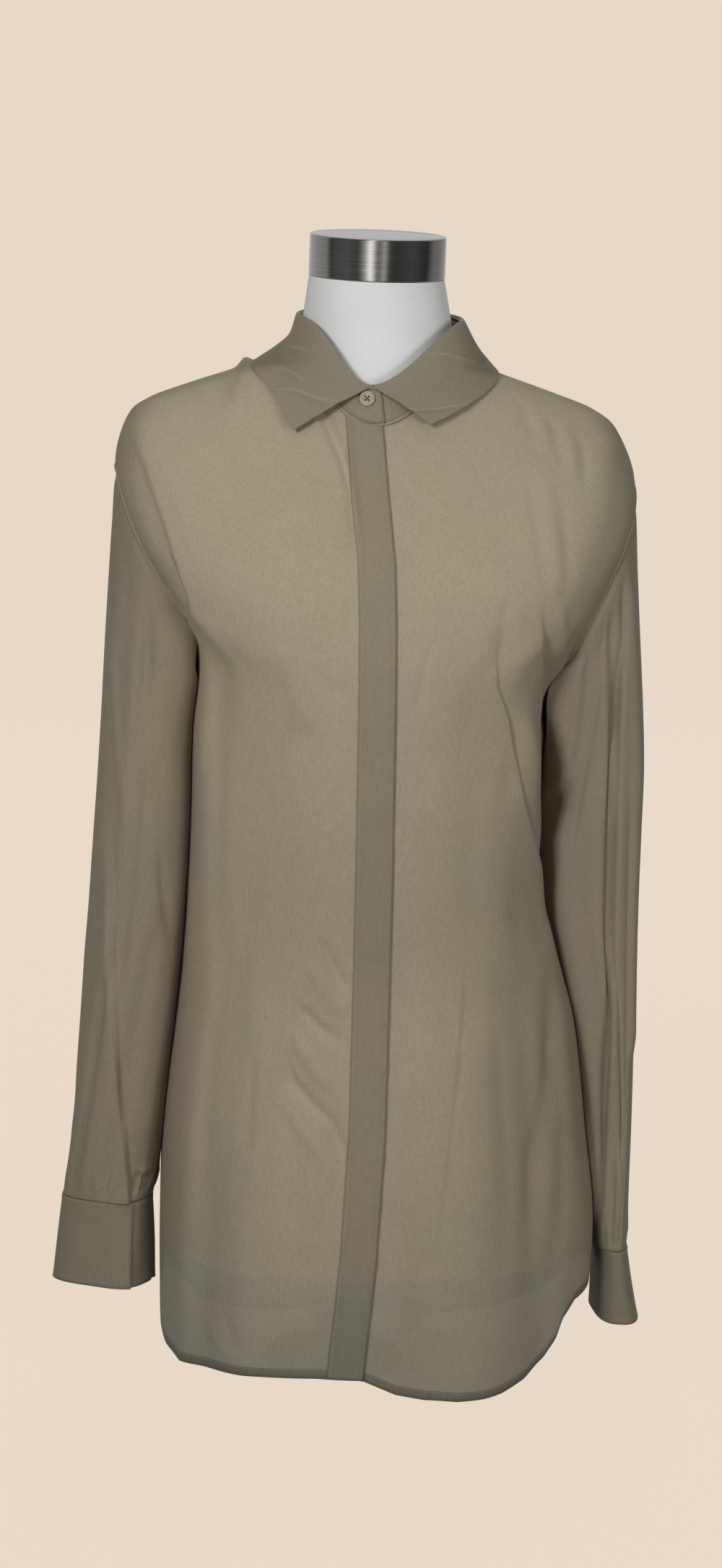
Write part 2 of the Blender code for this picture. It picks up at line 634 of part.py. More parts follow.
def make_collar():
    angles, grid, normals = collar_band()
    shell("collar_band", grid[:, ::-1], normals[:, ::-1], CLOTH, "double_cloth")

    ease = np.linspace(0.0, 1.0, LEAF_COLUMNS + 1)
    turn = -1.0 - 358.0 * (ease - 0.03 * np.sin(2 * np.pi * ease))
    top = collar_ring(BAND_TOP, turn, OPENING_SHIFT)
    out = top * np.array([1.0, 1.0, 0.0])
    out = out / np.linalg.norm(out, axis=-1, keepdims=True)
    up = across_edge(top, out)
    # The right end of the band lies outside the left one, so the leaf starts further out.
    lap = (BAND_LIFT + 0.45) * (1.0 - smooth((BAND_START - turn) / 42.0))
    top = top + out * lap[:, None]
    rows = LEAF_EDGE[::-1]
    places = [place_on_shirt(*row[1:4]) for row in rows]
    shirt_angles = [angle if row[0] > -90 else angle - 360.0 if angle > 0 else angle
                    for row, (level, angle) in zip(rows, places)]
    level = np.interp(turn, [row[0] for row in rows], [place[0] for place in places])
    angle = np.interp(turn, [row[0] for row in rows], shirt_angles)
    height = np.interp(turn, [row[0] for row in rows], [row[4] for row in rows])
    edge = shirt_surface(level, angle) + normals_of(shirt_surface, level, angle) * height[:, None]
    start = top + up * 1.6
    crown = top + out * 1.2 + up * 3.3
    turn_over = top + out * 3.4 + up * 2.4
    fall = edge - turn_over
    bulge = np.array([0.0, 0.0, 1.0]) + out
    half = turn_over + fall * 0.42 + bulge * 1.6
    lower = turn_over + fall * 0.74 + bulge * 1.1
    leaf = np.array([start, crown, turn_over, half, lower, edge])
    normals = -grid_normals(leaf)
    shell("collar_leaf", leaf[:, ::-1], normals[:, ::-1], CLOTH, "double_cloth")

    spot = np.interp(-COLLAR_BUTTON_ANGLE, -angles, np.arange(len(angles)))
    low, part = int(spot), spot - int(spot)
    place = grid[:, low] * (1 - part) + grid[:, low + 1] * part
    out = normals_at(grid, low, part)
    centre = place[0] * 0.72 + place[2] * 0.28
    place_button("collar_button", centre + out * (CLOTH / 2 + GAP + 0.2), out)


def normals_at(grid, low, part):
    normals = -grid_normals(grid)
    normal = normals[1, low] * (1 - part) + normals[1, low + 1] * part
    return normal / np.linalg.norm(normal)


def lathe(name, profile, segments, look):
    """A turned solid from a profile of radius and height, from the axis out and back."""
    points, faces = [], []
    for radius, height in profile[1:-1]:
        for step in range(segments):
            turn = 2 * math.pi * step / segments
            points.append((radius * math.cos(turn), radius * math.sin(turn), height))
    rings = len(profile) - 2
    for ring in range(rings - 1):
        for step in range(segments):
            a, b = ring * segments + step, ring * segments + (step + 1) % segments
            faces.append((a, b, b + segments, a + segments))
    faces.append(tuple(range(segments))[::-1])
    faces.append(tuple(range((rings - 1) * segments, rings * segments)))
    return add_mesh(name, np.array(points, float), faces, look)


def button_mesh():
    """A flat button with a raised rim and four holes."""
    rim, thick = BUTTON_RADIUS, BUTTON_THICK
    profile = ((0, 0), (rim - 0.5, 0), (rim, 0.5), (rim, thick - 0.4), (rim - 0.5, thick),
               (rim - 1.4, thick), (rim - 1.9, thick - 0.45), (0, thick - 0.45))
    disc = lathe("button_blank", profile, 20, "button")
    cutters = []
    for x in (-BUTTON_PITCH, BUTTON_PITCH):
        for y in (-BUTTON_PITCH, BUTTON_PITCH):
            profile = ((0, -1), (BUTTON_HOLE, -1), (BUTTON_HOLE, thick + 1), (0, thick + 1))
            cutter = lathe("button_drill", profile, 6, "button")
            cutter.location = (x * MM, y * MM, 0)
            cutter.hide_render = True
            cutter.display_type = "WIRE"
            hole = disc.modifiers.new("hole", "BOOLEAN")
            hole.object = cutter
            hole.operation = "DIFFERENCE"
            cutters.append(cutter)
    bpy.context.view_layer.update()
    graph = bpy.context.evaluated_depsgraph_get()
    mesh = bpy.data.meshes.new_from_object(disc.evaluated_get(graph))
    mesh.name = "button"
    for obj in cutters + [disc]:
        bpy.data.objects.remove(obj, do_unlink=True)
    return mesh


def place_button(name, point, out):
    obj = bpy.data.objects.new(name, BUTTON)
    bpy.context.collection.objects.link(obj)
    out = Vector(out).normalized()
    side = out.cross(Vector((0, 0, 1))).normalized()
    up = out.cross(side)
    turn = Matrix((side, -up, out)).transposed().to_4x4()
    obj.matrix_world = Matrix.Translation(Vector(np.asarray(point) * MM)) @ turn
    return obj


def make_fly_buttons():
    for number, drop in enumerate(FLY_BUTTON_DROPS, 1):
        levels = np.linspace(1.0, 15.0, 400)
        level = np.array(np.interp(drop, along(SHIRT, levels)[:, 7], levels))
        angle = placket_angle(level, 2.0)
        point = shirt_surface(level, angle)
        out = normals_of(shirt_surface, level, angle)
        place_button(f"fly_button_{number}", point + out * (CLOTH / 2 + GAP), out)


def make_form():
    """A smooth limbless torso with a neck, closed flat under the cap and at the foot."""
    angles = np.arange(48) * 7.5
    rings = list(NECK_RINGS)
    for level in (0, 0.6, 1.2, 2, 2.8, 3.5, 4.2, 5, 5.5, 6, 6.5, 7, 7.5, 8, 9, 10, 11, 12,
                  13, 14):
        rings.append(tuple(along(FORM, level)))
    rings.append((123.5, 123.5, 101.5, 107.5, 2.1, 801, 801, 801, 801, 1.4))
    rings.append((118, 118, 96, 102, 2.1, 806, 806, 806, 806, 1.4))
    points, faces = [], []
    for ring in rings:
        points.append(ring_point(np.broadcast_to(np.array(ring), (48, 10)), angles))
    for row in range(len(rings) - 1):
        for column in range(48):
            a, b = row * 48 + column, row * 48 + (column + 1) % 48
            faces.append((a, a + 48, b + 48, b))
    faces.append(tuple(range(48)))
    faces.append(tuple(range((len(rings) - 1) * 48, len(rings) * 48))[::-1])
    add_mesh("form_torso", np.concatenate(points), faces, "jersey")


def make_stand():
    edge = 1.2
    cap = lathe("neck_cap", ((0, 0), (CAP_RADIUS - 0.4, 0), (CAP_RADIUS, 0.4),
                             (CAP_RADIUS, CAP_HEIGHT - edge),
                             (CAP_RADIUS - edge * 0.3, CAP_HEIGHT - edge * 0.3),
                             (CAP_RADIUS - edge, CAP_HEIGHT), (0, CAP_HEIGHT)), 64, "steel")
    cap.location = (0, 0, (CAP_TOP - CAP_HEIGHT) * MM)
    foot = CAP_TOP - 806.0
    post = lathe("stand_post", ((0, 0), (POST_RADIUS, 0), (POST_RADIUS, foot - BASE_THICK - 2 * GAP),
                                (0, foot - BASE_THICK - 2 * GAP)), 32, "steel")
    post.location = (0, POST_BACK * MM, (BASE_THICK + GAP) * MM)
    base = lathe("base_plate", ((0, 0), (BASE_RADIUS, 0), (BASE_RADIUS, BASE_THICK - 2.5),
                                (BASE_RADIUS - 0.8, BASE_THICK - 0.8),
                                (BASE_RADIUS - 2.5, BASE_THICK), (0, BASE_THICK)), 48, "enamel")
    base.location = (0, POST_BACK * MM, 0)


clear_scene()
BUTTON = button_mesh()
make_form()
make_stand()
make_fronts()
make_back()
make_placket()
make_fly_buttons()
make_sleeve("sleeve_right", -1, RIGHT_SLEEVE, "cuff_right", RIGHT_CUFF)
make_sleeve("sleeve_left", 1, LEFT_SLEEVE, "cuff_left", LEFT_CUFF)
make_collar()
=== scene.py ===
"""A long-sleeved button-up shirt of sheer crepe on a white dress form.

The front looks along -Y, +X is the wearer's left, Z is up and the floor is at 0.
The tables hold millimetres. A drop is a depth below the top of the neck cap. An
angle goes round the body from centre front (0) over the wearer's left side (90)
to centre back (180).
"""

import math

import bpy
import bmesh
import numpy as np
from mathutils import Matrix, Vector
from mathutils.bvhtree import BVHTree


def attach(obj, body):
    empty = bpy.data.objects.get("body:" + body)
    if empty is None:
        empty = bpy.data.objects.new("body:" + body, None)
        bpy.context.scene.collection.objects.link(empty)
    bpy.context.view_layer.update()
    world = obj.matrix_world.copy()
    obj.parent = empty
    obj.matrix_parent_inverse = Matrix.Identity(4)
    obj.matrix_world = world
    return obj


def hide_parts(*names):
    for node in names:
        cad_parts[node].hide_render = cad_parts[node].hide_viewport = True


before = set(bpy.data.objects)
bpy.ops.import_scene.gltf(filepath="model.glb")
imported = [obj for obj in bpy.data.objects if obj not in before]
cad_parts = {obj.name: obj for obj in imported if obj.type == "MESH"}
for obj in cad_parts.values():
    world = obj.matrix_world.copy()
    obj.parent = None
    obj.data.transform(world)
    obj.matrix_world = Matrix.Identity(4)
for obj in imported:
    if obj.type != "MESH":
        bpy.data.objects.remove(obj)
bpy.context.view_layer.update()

MM = 0.001
CAP_TOP = 911.0
CAP_RADIUS, CAP_HEIGHT, CAP_ROUND = 53.0, 32.3, 1.3
POST_RADIUS, POST_BACK = 16.0, 12.0
BASE_RADIUS, BASE_THICK = 55.0, 10.0
FORM_FOOT_DROP = 806.0
GAP = 0.3

CREPE_WALL = 0.5
DOUBLE_WALL = 0.9
PLACKET_HALF = 14.0
# The x of the placket's centre at each drop.
PLACKET_CENTRE = ((138, -12.3), (196, -6.7), (240, -1.5), (283, 0.5), (383, 3), (485, 5.5),
                  (588, 7), (690, 7.7), (793, 4), (884, -3), (920, -5))
# How far beside the placket's centre each front starts: the right one (-1), the left one (1).
FRONT_START = {-1: 2.0, 1: -10.0}
HEM_TURN, HEM_INSIDE, HEM_STITCH_UP = 7.5, 0.62, 6.3
SEAM_ROOM = 0.3
FLY_BUTTON_DROPS = (212, 322, 432, 542, 652, 762)
# The drop and height of each pucker across the placket.
PLACKET_PUCKERS = ((560, 0.5), (596, 0.7), (632, 0.8), (668, 0.6), (706, 0.9), (742, 0.8),
                   (788, 0.7), (826, 0.5))
BUTTON_RADIUS, BUTTON_THICK = 5.9, 1.8
BUTTON_HOLE, BUTTON_PITCH = 0.8, 1.35
COLLAR_BUTTON_ANGLE = -4.5
CUFF_WALL = 1.1
CUFF_OVERLAP, CUFF_START = 30.0, 262.0
ARM_TOP, ARM_MID, ARM_BOTTOM = 5.0, 6.0, 7.0
ARMHOLE_FRONT, ARMHOLE_BACK = 24.6, 24.0
ARM_FINE, SLEEVE_FINE = 44, 104
CRISP_EDGE = 1.7

NECK_RINGS = (
    # right side, left side, front, back, squareness, right, left, front and back drops, spread
    (52.6, 52.6, 52.6, 52.6, 2.0, 32.6, 32.6, 32.6, 32.6, 2.0),
    (54.3, 55.8, 53.6, 54.0, 2.0, 48, 48, 50, 46, 2.0),
    (56.8, 59.8, 55.8, 57.0, 2.0, 68, 68, 76, 64, 2.0),
    (60.0, 62.3, 61.0, 60.5, 2.0, 86, 86, 108, 80, 3.0),
)
FORM_RINGS = (
    # name, half width, front, back, squareness, side drop, front drop, back drop, spread
    ("neck_root", 66, 69, 67, 2.0, 98.0, 139, 91, 3.5),
    ("shoulder_1", 98.5, 80, 80, 2.1, 106.6, 166, 114, 2.2),
    ("shoulder_2", 140.5, 91, 92, 2.2, 120.6, 198, 145, 1.8),
    ("shoulder_3", 171, 100, 100, 2.3, 133.2, 228, 180, 1.5),
    ("shoulder_end", 181, 107, 105, 2.4, 151, 256, 212, 1.4),
    ("arm_plate", 179, 111, 107, 2.3, 190, 281, 245, 1.4),
    ("arm_root", 158, 113, 107, 2.2, 250, 306, 285, 1.4),
    ("bust", 131, 112, 103, 2.1, 312, 333, 325, 1.4),
    ("under_bust", 123, 103, 96, 2.1, 390, 390, 390, 1.4),
    ("ribs", 115, 94, 89, 2.1, 450, 450, 450, 1.4),
    ("waist", 107, 87, 85, 2.1, 520, 520, 520, 1.4),
    ("belly", 110, 91, 92, 2.1, 575, 575, 575, 1.4),
    ("high_hip", 117, 96, 100, 2.1, 620, 620, 620, 1.4),
    ("hip", 126, 102, 110, 2.1, 700, 700, 700, 1.4),
    ("seat", 125, 103, 109, 2.1, 790, 790, 790, 1.4),
)

SHIRT_RINGS = (
    # name, right side, left side, front, back, squareness,
    # right drop, left drop, front drop, back drop, spread
    ("neckline", 70, 70, 76, 71, 2.0, 95.5, 95.5, 140, 89, 3.5),
    ("shoulder_1", 99.5, 99.5, 85, 83, 2.1, 105.5, 105.5, 167, 112, 2.2),
    ("shoulder_2", 142, 142, 96, 95, 2.2, 119.5, 119.5, 199, 143.5, 1.8),
    ("shoulder_3", 173.5, 174.5, 104, 104, 2.3, 131.9, 131.9, 229, 178, 1.5),
    ("shoulder_end", 190, 194, 111, 109, 2.35, 147, 149, 257, 211, 1.4),
    ("armhole_top", 198.5, 209, 116, 113, 2.45, 184, 190, 283, 244, 1.4),
    ("armhole", 186, 198, 119, 115, 2.5, 225, 240, 309, 286, 1.4),
    ("underarm", 136, 150, 120.5, 115, 3.0, 306, 342, 337, 327, 1.4),
    ("chest", 134.5, 147, 119, 113, 2.8, 390, 392, 390, 390, 1.4),
    ("ribs", 134, 147, 116.5, 111, 2.65, 450, 450, 450, 450, 1.4),
    ("waist", 134.5, 148, 114, 110, 2.5, 520, 520, 520, 520, 1.4),
    ("belly", 136, 168, 113, 112, 2.45, 575, 575, 575, 575, 1.4),
    ("high_hip", 139, 182, 113.5, 116, 2.4, 620, 620, 620, 620, 1.4),
    ("hip", 144.5, 193, 116, 122, 2.35, 700, 700, 700, 700, 1.4),
    ("seat", 144, 204, 120, 127, 2.3, 790, 790, 790, 790, 1.4),
    ("hem", 139, 197, 124, 131, 2.2, 915, 915, 915, 915, 1.4),
)

HEM = (
    # angle, drop
    (-180, 903), (-150, 900), (-130, 884), (-116, 852), (-104, 828), (-96, 848),
    (-88, 874), (-80, 886), (-68, 893), (-47, 889), (-20, 886.5), (-3, 885),
    (2.5, 885.5), (6.3, 891), (11, 898), (18, 903), (26, 905), (33, 903.5),
    (38, 901), (47, 893), (54.5, 880), (58.5, 866), (60.5, 850), (66, 837),
    (80, 829.5), (90, 822), (96, 818), (106, 832), (120, 864), (134, 888),
    (155, 902), (180, 903),
)

BODY_FOLDS = (
    # name, top angle, top drop, bottom angle, bottom drop, width, depth
    ("left_chest_ridge", 41, 320, 58, 400, 15, 4.0),
    ("left_side_ridge", 58, 400, 74, 535, 15, 6.0),
    ("left_side_trough", 72, 400, 84, 470, 13, -5.0),
    ("left_hip_trough", 46, 600, 52, 880, 20, -5.0),
    ("left_hip_ridge", 30, 640, 33, 880, 18, 4.0),
    ("left_centre_trough", 15, 560, 19, 860, 15, -3.0),
    ("left_armpit", 55, 215, 47, 300, 14, -1.2),
    ("right_armpit", -52, 235, -50, 330, 14, 1.0),
    ("right_side_trough", -62, 380, -55, 560, 18, -3.5),
    ("right_waist_ridge", -36, 560, -34, 860, 20, 3.5),
    ("right_low_trough", -56, 640, -54, 870, 17, -4.0),
    ("right_centre_trough", -20, 620, -16, 860, 15, -2.5),
    ("back_ridge_1", -150, 300, -146, 890, 22, 8.0),
    ("back_trough_1", -172, 430, -166, 880, 24, -7.0),
    ("back_ridge_2", 168, 260, 172, 890, 22, 7.0),
    ("back_trough_2", 146, 330, 148, 880, 20, -7.5),
    ("back_ridge_3", 126, 360, 124, 850, 19, 7.0),
    ("back_trough_3", -126, 380, -128, 850, 19, -6.0),
    ("right_side_ridge", -112, 420, -108, 790, 16, 5.0),
    ("left_side_back", 108, 450, 106, 790, 16, -5.0),
)

RIGHT_SLEEVE = (
    # name, drop, centre x, centre y, half width, half depth, turn, squareness
    ("upper_arm", 385, -171.5, 4, 32.0, 68, 0, 2.2),
    ("elbow_1", 450, -172.5, 6, 33.0, 70, 0, 2.2),
    ("elbow_2", 530, -174.5, 6, 34.0, 67, -2, 2.2),
    ("forearm_1", 610, -178.0, 6, 33.5, 61, -5, 2.2),
    ("forearm_2", 690, -183.0, 5, 32.5, 52, -9, 2.3),
    ("forearm_3", 740, -184.8, 3, 33.0, 42, -17, 2.5),
    ("cuff_seam", 770, -187.0, 1, 34.0, 32, -25, 2.8),
)
RIGHT_CUFF = (
    ("top", 770, -187.0, 1, 34.0, 32, -25, 2.8),
    ("middle", 805, -187.5, 0, 37.0, 31, -27, 3.0),
    ("bottom", 840, -188.0, 0, 39.5, 30, -29, 3.0),
)
# The drop and x of the fold down the right cuff.
CUFF_FOLD = ((745, -169.5), (805, -169.5), (862, -168.5))
LEFT_SLEEVE = (
    ("upper_arm", 400, 193.5, 6, 33.0, 66, 0, 2.2),
    ("elbow_1", 460, 194.5, 8, 33.5, 69, 0, 2.2),
    ("elbow_2", 530, 198.0, 12, 31.0, 68, 0, 2.2),
    ("forearm_1", 600, 207.0, 16, 22.0, 68, 0, 2.2),
    ("forearm_2", 680, 215.5, 18, 14.5, 66, 0, 2.3),
    ("forearm_3", 750, 218.5, 18, 12.0, 60, 0, 2.4),
    ("cuff_seam", 804, 219.5, 16, 12.0, 50, 0, 2.5),
)
LEFT_CUFF = (
    ("top", 804, 219.5, 16, 12.0, 50, 0, 2.5),
    ("middle", 834, 223.0, 16, 14.0, 49, 0, 2.5),
    ("bottom", 865, 226.5, 16, 17.0, 48, 0, 2.5),
)
ARMS = (("right", -1, RIGHT_SLEEVE, RIGHT_CUFF), ("left", 1, LEFT_SLEEVE, LEFT_CUFF))
SLEEVE_FOLDS = (
    # sleeve, name, top angle, top drop, bottom angle, bottom drop, width, depth
    ("right", "inner_fold", 112, 560, 100, 745, 9, -2.6),
    ("right", "front_fold", 62, 600, 55, 760, 8, -4.0),
    ("right", "outer_ridge", 30, 250, 34, 480, 12, 3.0),
    ("right", "front_trough", 84, 330, 78, 560, 11, -4.0),
    ("right", "back_fold", 250, 420, 262, 740, 12, -6.0),
    ("right", "back_ridge", 300, 330, 296, 700, 12, 4.0),
    ("left", "front_trough", 78, 300, 84, 700, 11, -5.0),
    ("left", "front_ridge", 48, 260, 52, 620, 10, 4.0),
    ("left", "inner_fold", 118, 470, 108, 760, 10, -3.0),
    ("left", "back_fold", 262, 400, 270, 760, 12, -5.0),
    ("left", "back_ridge", 298, 330, 300, 720, 12, 4.0),
    ("right", "outer_trough_1", 22, 430, 12, 690, 7, -2.0),
    ("right", "outer_trough_2", 334, 380, 343, 640, 8, -2.8),
    ("right", "elbow_pull_1", 292, 512, 348, 548, 5, 1.7),
    ("right", "elbow_pull_2", 286, 546, 340, 590, 6, -1.8),
    ("left", "outer_trough_1", 24, 380, 14, 640, 7, -2.0),
    ("left", "outer_trough_2", 336, 430, 344, 710, 8, -2.8),
    ("left", "elbow_pull_1", 294, 530, 349, 562, 5, 1.7),
    ("left", "elbow_pull_2", 288, 566, 342, 606, 6, -1.8),
    ("left", "elbow_pull_3", 300, 610, 352, 634, 5, 1.3),
)

BAND_TOP = (58.0, 66.0, 71.0, 63.0, 2.0, 67.0, 67.0, 113.0, 61.0, 4.0)
BAND_START, BAND_END, BAND_COLUMNS = 6.0, -374.0, 191
BAND_LIFT = 1.7
OPENING_SHIFT = -7.0
LEAF_EDGE = (
    # roll angle, x, drop, 1 on the front or -1 on the back, height over the shirt
    (-1, -64.6, 148.8, 1, 7.5), (-22, -74.5, 130, 1, 4.8), (-48, -80, 120, 1, 2.8),
    (-90, -94, 105.3, 1, 1.8), (-135, -68, 99, -1, 2.0), (-180, 0, 101.5, -1, 2.2),
    (-225, 70, 99, -1, 2.0), (-270, 96.5, 104.5, 1, 1.8), (-300, 90.5, 112.0, 1, 1.9),
    (-320, 80, 119.0, 1, 3.0), (-338, 64.5, 127.3, 1, 5.4), (-359, 36.5, 140.5, 1, 8.0),
)

LEAF_CREASES = (
    # pressed lines across the leaf, raised and given a painted highlight: along the fold from and
    # to, how far down at each, height
    (8, -62, 0.14, 1.20, 1.5), (-25, -84, 0.42, 0.98, 1.1), (-48, -86, 0.24, 0.42, 1.1),
    (-372, -324, 0.30, 1.22, 1.4), (-328, -296, -0.06, 0.74, 1.5), (-302, -268, 0.62, 0.52, -1.8),
    (-200, -150, 0.45, 0.55, 0.5), (-240, -205, 0.60, 0.50, 0.4),
)
# The roll of the leaf over the band: its start up the band, its crown out and up, and its turn.
ROLL_START, CROWN_OUT, CROWN_UP, TURN_OUT, TURN_UP = 1.6, 1.2, 3.3, 3.4, 2.4

FRONT_CREASES = (
    # name, width, depth, then points of x and drop; depth is out of the cloth where positive.
    # A width below 0 is a fold with a crisp edge along the points, soft to the left of their run.
    ("right_sleeve_fold", -17.0, -5.5, ((-194, 150), (-182, 178), (-173, 203), (-162, 232),
                                        (-154, 256), (-146, 276), (-140, 312))),
    ("left_front_fold", -9.0, -4.2, ((150, 540), (138, 482), (121, 422), (107, 361), (97, 334),
                                     (96, 308), (100, 280))),
    ("left_under_fold", -8.0, -5.5, ((144, 470), (141, 402), (138, 350), (134, 304), (130, 282),
                                     (127, 258))),
    ("left_lens_ridge", 5.0, 2.2, ((141, 262), (146, 284), (150, 320), (150, 350))),
    ("shoulder_pinch", 5.4, 5.8, ((-97, 86), (-99, 104), (-105, 122), (-112, 138))),
    ("shoulder_gather_1", 3.4, -1.7, ((112, 118), (118, 133), (121, 152))),
    ("shoulder_gather_2", 3.2, 1.2, ((124, 124), (129, 140), (132, 163))),
    ("shoulder_gather_3", 3.4, -1.4, ((136, 131), (141, 146), (143, 172))),
    ("shoulder_gather_4", 3.2, 1.3, ((148, 138), (152, 155), (153, 181))),
    ("shoulder_gather_5", 3.6, -1.3, ((160, 146), (163, 163), (163, 190))),
    ("armpit_line_1", 4.5, -1.1, ((113, 165), (121, 196), (128, 238), (134, 275))),
    ("armpit_line_2", 5.0, 1.0, ((127, 160), (133, 192), (139, 232), (143, 268))),
    ("armpit_line_3", 5.5, -1.3, ((142, 182), (147, 215), (149, 252), (147, 292))),
    ("left_breast_side", 6.0, -1.6, ((103, 262), (99, 284), (96, 327))),
    ("collar_line_1", 3.2, 2.4, ((-66, 112), (-44, 144), (-34, 164), (-27, 184), (-22, 204))),
    ("collar_line_2", 6.0, -4.6, ((-60, 104), (-40, 140), (-29, 166), (-21, 190), (-16, 214),
                                  (-13, 255))),
    ("collar_line_3", 6.0, 1.4, ((-64, 150), (-46, 190), (-30, 225), (-19, 255))),
    ("left_collar_line", 3.6, -0.9, ((13, 178), (21, 188), (36, 192))),
    ("left_breast_line", 4.5, -1.5, ((43, 300), (40, 316), (35, 345), (30, 360))),
    ("right_breast_line_1", 9.0, 1.8, ((-74, 292), (-66, 330), (-52, 360), (-30, 372))),
    ("right_breast_line_2", 7.0, -1.2, ((-60, 300), (-52, 322), (-34, 340), (-16, 345))),
    ("right_arm_line", 5.0, 0.9, ((-160, 190), (-154, 206), (-140, 240), (-132, 262))),
    ("placket_pull_1", 4.0, -2.2, ((-38, 530), (-30, 541), (-24, 555), (-15, 570), (-6, 584))),
    ("placket_pull_2", 5.0, 1.8, ((-44, 552), (-33, 570), (-21, 588), (-10, 598))),
    ("placket_pull_3", 4.5, -2.2, ((-52, 584), (-42, 596), (-33, 605), (-20, 614), (-7, 621))),
    ("placket_pull_4", 5.5, 2.0, ((-56, 606), (-44, 626), (-31, 644), (-16, 660))),
    ("placket_pull_5", 5.0, -3.4, ((-62, 618), (-52, 650), (-36, 667), (-20, 681), (-11, 704),
                                   (-6, 730))),
    ("placket_pull_6", 6.0, 1.6, ((-66, 648), (-52, 678), (-36, 696), (-22, 716), (-16, 740))),
    ("right_hip_short", 5.0, -1.8, ((-79, 622), (-81, 645), (-83, 685), (-84, 720))),
    ("left_centre_side", -16.0, -2.2, ((66, 800), (74, 719), (78, 650), (81, 590), (82, 540))),
    ("left_hip_fold", 8.0, -3.2, ((148, 545), (152, 575), (155, 620), (153, 668), (146, 720),
                                  (148, 790))),
    ("hip_line_1", 10.0, 1.6, ((-83, 520), (-80, 600), (-78, 700), (-80, 790))),
    ("hip_line_2", 9.0, -1.4, ((-62, 540), (-60, 620), (-57, 720), (-56, 800))),
    ("left_hip_line_1", 11.0, 1.8, ((78, 560), (86, 640), (90, 720), (92, 860))),
    ("left_hip_line_2", 9.0, -1.8, ((101, 560), (113, 640), (120, 730), (122, 870))),
    ("left_hip_line_3", 8.0, 1.8, ((129, 560), (146, 640), (154, 730), (156, 850))),
    ("left_hip_line_4", 7.0, -1.8, ((146, 590), (163, 660), (171, 740), (172, 830))),
    ("hem_crumple_1", 4.0, 0.9, ((-118, 846), (-104, 862), (-88, 881))),
    ("hem_crumple_2", 4.5, -0.9, ((-102, 834), (-90, 856), (-78, 877))),
    ("hem_crumple_3", 4.0, 0.8, ((26, 820), (42, 832), (56, 838))),
    ("hem_crumple_4", 4.0, 0.8, ((88, 872), (96, 884), (100, 896))),
)

BACK_CREASES = (
    ("shoulder_pinch", 5.4, 5.8, ((-97, 84), (-98, 100), (-96, 118), (-92, 132))),
    ("yoke_drag_1", 8.0, 1.6, ((-120, 150), (-88, 176), (-52, 190))),
    ("yoke_drag_2", 8.0, 1.5, ((118, 152), (90, 180), (50, 196))),
    ("shoulder_blade_line_1", 9.0, -1.8, ((-128, 205), (-108, 262), (-92, 330))),
    ("shoulder_blade_line_2", 9.0, -1.8, ((132, 210), (112, 270), (96, 345))),
    ("waist_pull_1", 6.0, 1.5, ((-96, 470), (-70, 512), (-38, 536))),
    ("waist_pull_2", 7.0, -1.6, ((-100, 492), (-72, 534), (-40, 556))),
    ("waist_pull_3", 6.0, 1.4, ((108, 450), (78, 505), (42, 528))),
    ("waist_pull_4", 7.0, -1.6, ((112, 474), (82, 528), (44, 552))),
    ("hem_wave_1", 10.0, 1.8, ((-74, 640), (-78, 740), (-76, 880))),
    ("hem_wave_2", 9.0, -1.6, ((-42, 620), (-44, 740), (-40, 880))),
    ("hem_wave_3", 10.0, 1.7, ((34, 640), (38, 760), (36, 890))),
    ("hem_wave_4", 9.0, -1.6, ((76, 630), (84, 750), (82, 885))),
)

SLEEVE_PUSH = {
    # how far the front part and the back part of the inner side lean in, by drop
    "right": (((290, 0), (345, 8), (480, 10), (700, 9), (748, 4), (770, 0)),
              ((284, 0), (300, 7), (345, 10), (480, 10), (700, 9), (748, 4), (770, 0))),
    "left": (((300, 0), (332, 12), (352, 16), (398, 18), (420, 13), (444, 10), (470, 16),
              (600, 17), (700, 15), (770, 10), (803, 3)),
             ((318, 0), (345, 12), (395, 17), (600, 17), (700, 15), (770, 10), (803, 3))),
}
RIGHT_ARM_FOLD = ((-199, 430), (-195, 504), (-191.5, 570), (-187, 635), (-182.5, 675),
                  (-177.5, 712), (-172.5, 750), (-167, 800), (-160, 900))
LEFT_ARM_FOLD = ((197, 300), (195, 405), (197, 474), (201, 585), (202, 671))
LEFT_UNDER_FOLD = ((168, 285), (167.5, 345), (166, 383), (161, 417), (149, 443), (138, 470))
